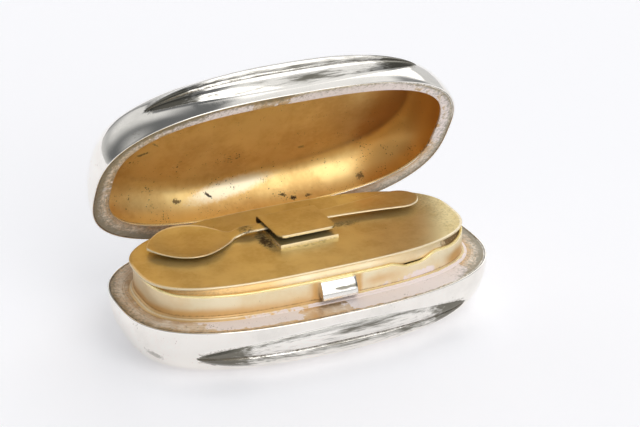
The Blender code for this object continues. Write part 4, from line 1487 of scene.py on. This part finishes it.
@dataclass
class Studio:
    """Camera, table and the surroundings that light the box and show in its metal."""

    azimuth: float = -24.89
    elevation: float = 25.22
    distance: float = 368.68
    focal: float = 2202.16
    right: float = 3.35
    up: float = 8.97
    rim_z: float = 9.4
    photo_width: int = 640
    sensor: float = 36
    table_size: float = 2.0
    paper: tuple[float, float, float, float] = (0.86, 0.85, 0.86, 1.0)
    glow: tuple[float, float, float, float] = (0.94, 0.95, 1.0, 1.0)
    glow_level: float = 0.29
    dim: tuple[float, float, float, float] = (0.145, 0.152, 0.158, 1.0)
    panels: tuple[Softbox, ...] = (
        Softbox(-14, 34, 8, 74, 2.1),
        Softbox(-20, 80, -6, 8, 0.50),
        Softbox(34, 116, 42, 80, 0.72, 5),
        Softbox(34, 116, 6, 42, 0.12, 6),
        Softbox(114, 167, 22, 74, 1.45),
        Softbox(100, 176, -6, 22, 0.50, 6),
        Softbox(-120, -92, 28, 56, 0.34, 12),
        Softbox(-66, -16, 0, 70, 0.30, 12),
        Softbox(-170, -40, -20, 3, 0.50, 8),
        Softbox(-205, -138, 8, 72, 0.62, 14),
    )

    def camera(self) -> None:
        """The camera at the photograph's angle."""
        az, el = math.radians(self.azimuth), math.radians(self.elevation)
        back = Vector((math.sin(az) * math.cos(el), -math.cos(az) * math.cos(el), math.sin(el)))
        right = Vector((math.cos(az), math.sin(az), 0))
        up = right.cross(-back)
        place = back * self.distance + right * self.right + up * self.up + Vector((0, 0, self.rim_z))
        data = bpy.data.cameras.new("camera")
        data.sensor_width = self.sensor
        data.lens = self.focal / self.photo_width * self.sensor
        data.clip_start = 0.01
        camera = bpy.data.objects.new("camera", data)
        turn = Matrix((right, up, back)).transposed().to_4x4()
        camera.matrix_world = Matrix.Translation(place * MM) @ turn
        bpy.context.collection.objects.link(camera)
        bpy.context.scene.camera = camera

    def table(self) -> None:
        """The pale table."""
        bm = bmesh.new()
        bmesh.ops.create_grid(bm, x_segments=1, y_segments=1, size=self.table_size)
        mesh = bpy.data.meshes.new("table")
        bm.to_mesh(mesh)
        bm.free()
        made = bpy.data.materials.new("pale table")
        made.use_nodes = True
        graph = Graph(made.node_tree)
        matt = graph.node("ShaderNodeBsdfDiffuse", {}, {"Color": self.paper})
        glow = graph.node("ShaderNodeEmission", {}, {"Color": self.glow, "Strength": self.glow_level})
        both = graph.node("ShaderNodeAddShader", {}, {0: matt, 1: glow})
        seen = graph.node("ShaderNodeLightPath", output="Is Camera Ray")
        for ray in ("Is Glossy Ray", "Is Transmission Ray"):
            seen = seen.lighter(graph.node("ShaderNodeLightPath", output=ray))
        shown = graph.node("ShaderNodeMixShader", {}, {0: seen, 1: matt, 2: both})
        graph.node("ShaderNodeOutputMaterial", {}, {"Surface": shown})
        mesh.materials.append(made)
        table = bpy.data.objects.new("table", mesh)
        bpy.context.collection.objects.link(table)

    def world(self) -> None:
        """Soft white panels in dim grey surroundings."""
        world = bpy.data.worlds.new("studio")
        bpy.context.scene.world = world
        world.use_nodes = True
        graph = Graph(world.node_tree)
        way = graph.node("ShaderNodeTexCoord", output="Generated")
        x, y, z = (graph.node("ShaderNodeSeparateXYZ", {}, {0: way}, k) for k in range(3))
        degrees = 180 / math.pi
        round_angle = graph.node("ShaderNodeMath", {"operation": "ARCTAN2"}, {0: x, 1: 0 - y}) * degrees
        height = graph.node("ShaderNodeMath", {"operation": "ARCSINE"}, {0: z}) * degrees
        light: Any = self.dim
        for panel in self.panels:
            mask: Any = panel.level
            for angle, low, high in ((round_angle, panel.left, panel.right), (height, panel.low, panel.high)):
                mask = mask * angle.between(low - panel.edge, low + panel.edge)
                mask = mask * (1 - angle.between(high - panel.edge, high + panel.edge))
            light = graph.add(mask, light, WHITE)
        sky = graph.node("ShaderNodeBackground", {}, {"Color": light, "Strength": 1.0})
        graph.node("ShaderNodeOutputWorld", {}, {"Surface": sky})

    def build(self) -> None:
        """Set up the shot."""
        self.camera()
        self.table()
        self.world()
        bpy.context.scene.view_settings.view_transform = "Standard"


def main() -> None:
    """Build the studio and the box."""
    logging.basicConfig(level=logging.INFO)
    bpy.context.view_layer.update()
    box = Box()
    finishes = Finishes(SILVER.build(), RIM_SILVER.build(), GILT.build(), LEAF_GILT.build(),
                        PALE_GILT.build())
    Studio().build()
    Halves(box, finishes).build()
    Collar(box, finishes).build()
    InnerLid(box, finishes).build()
    Spoon(finishes).build()


if __name__ == "__main__":
    main()
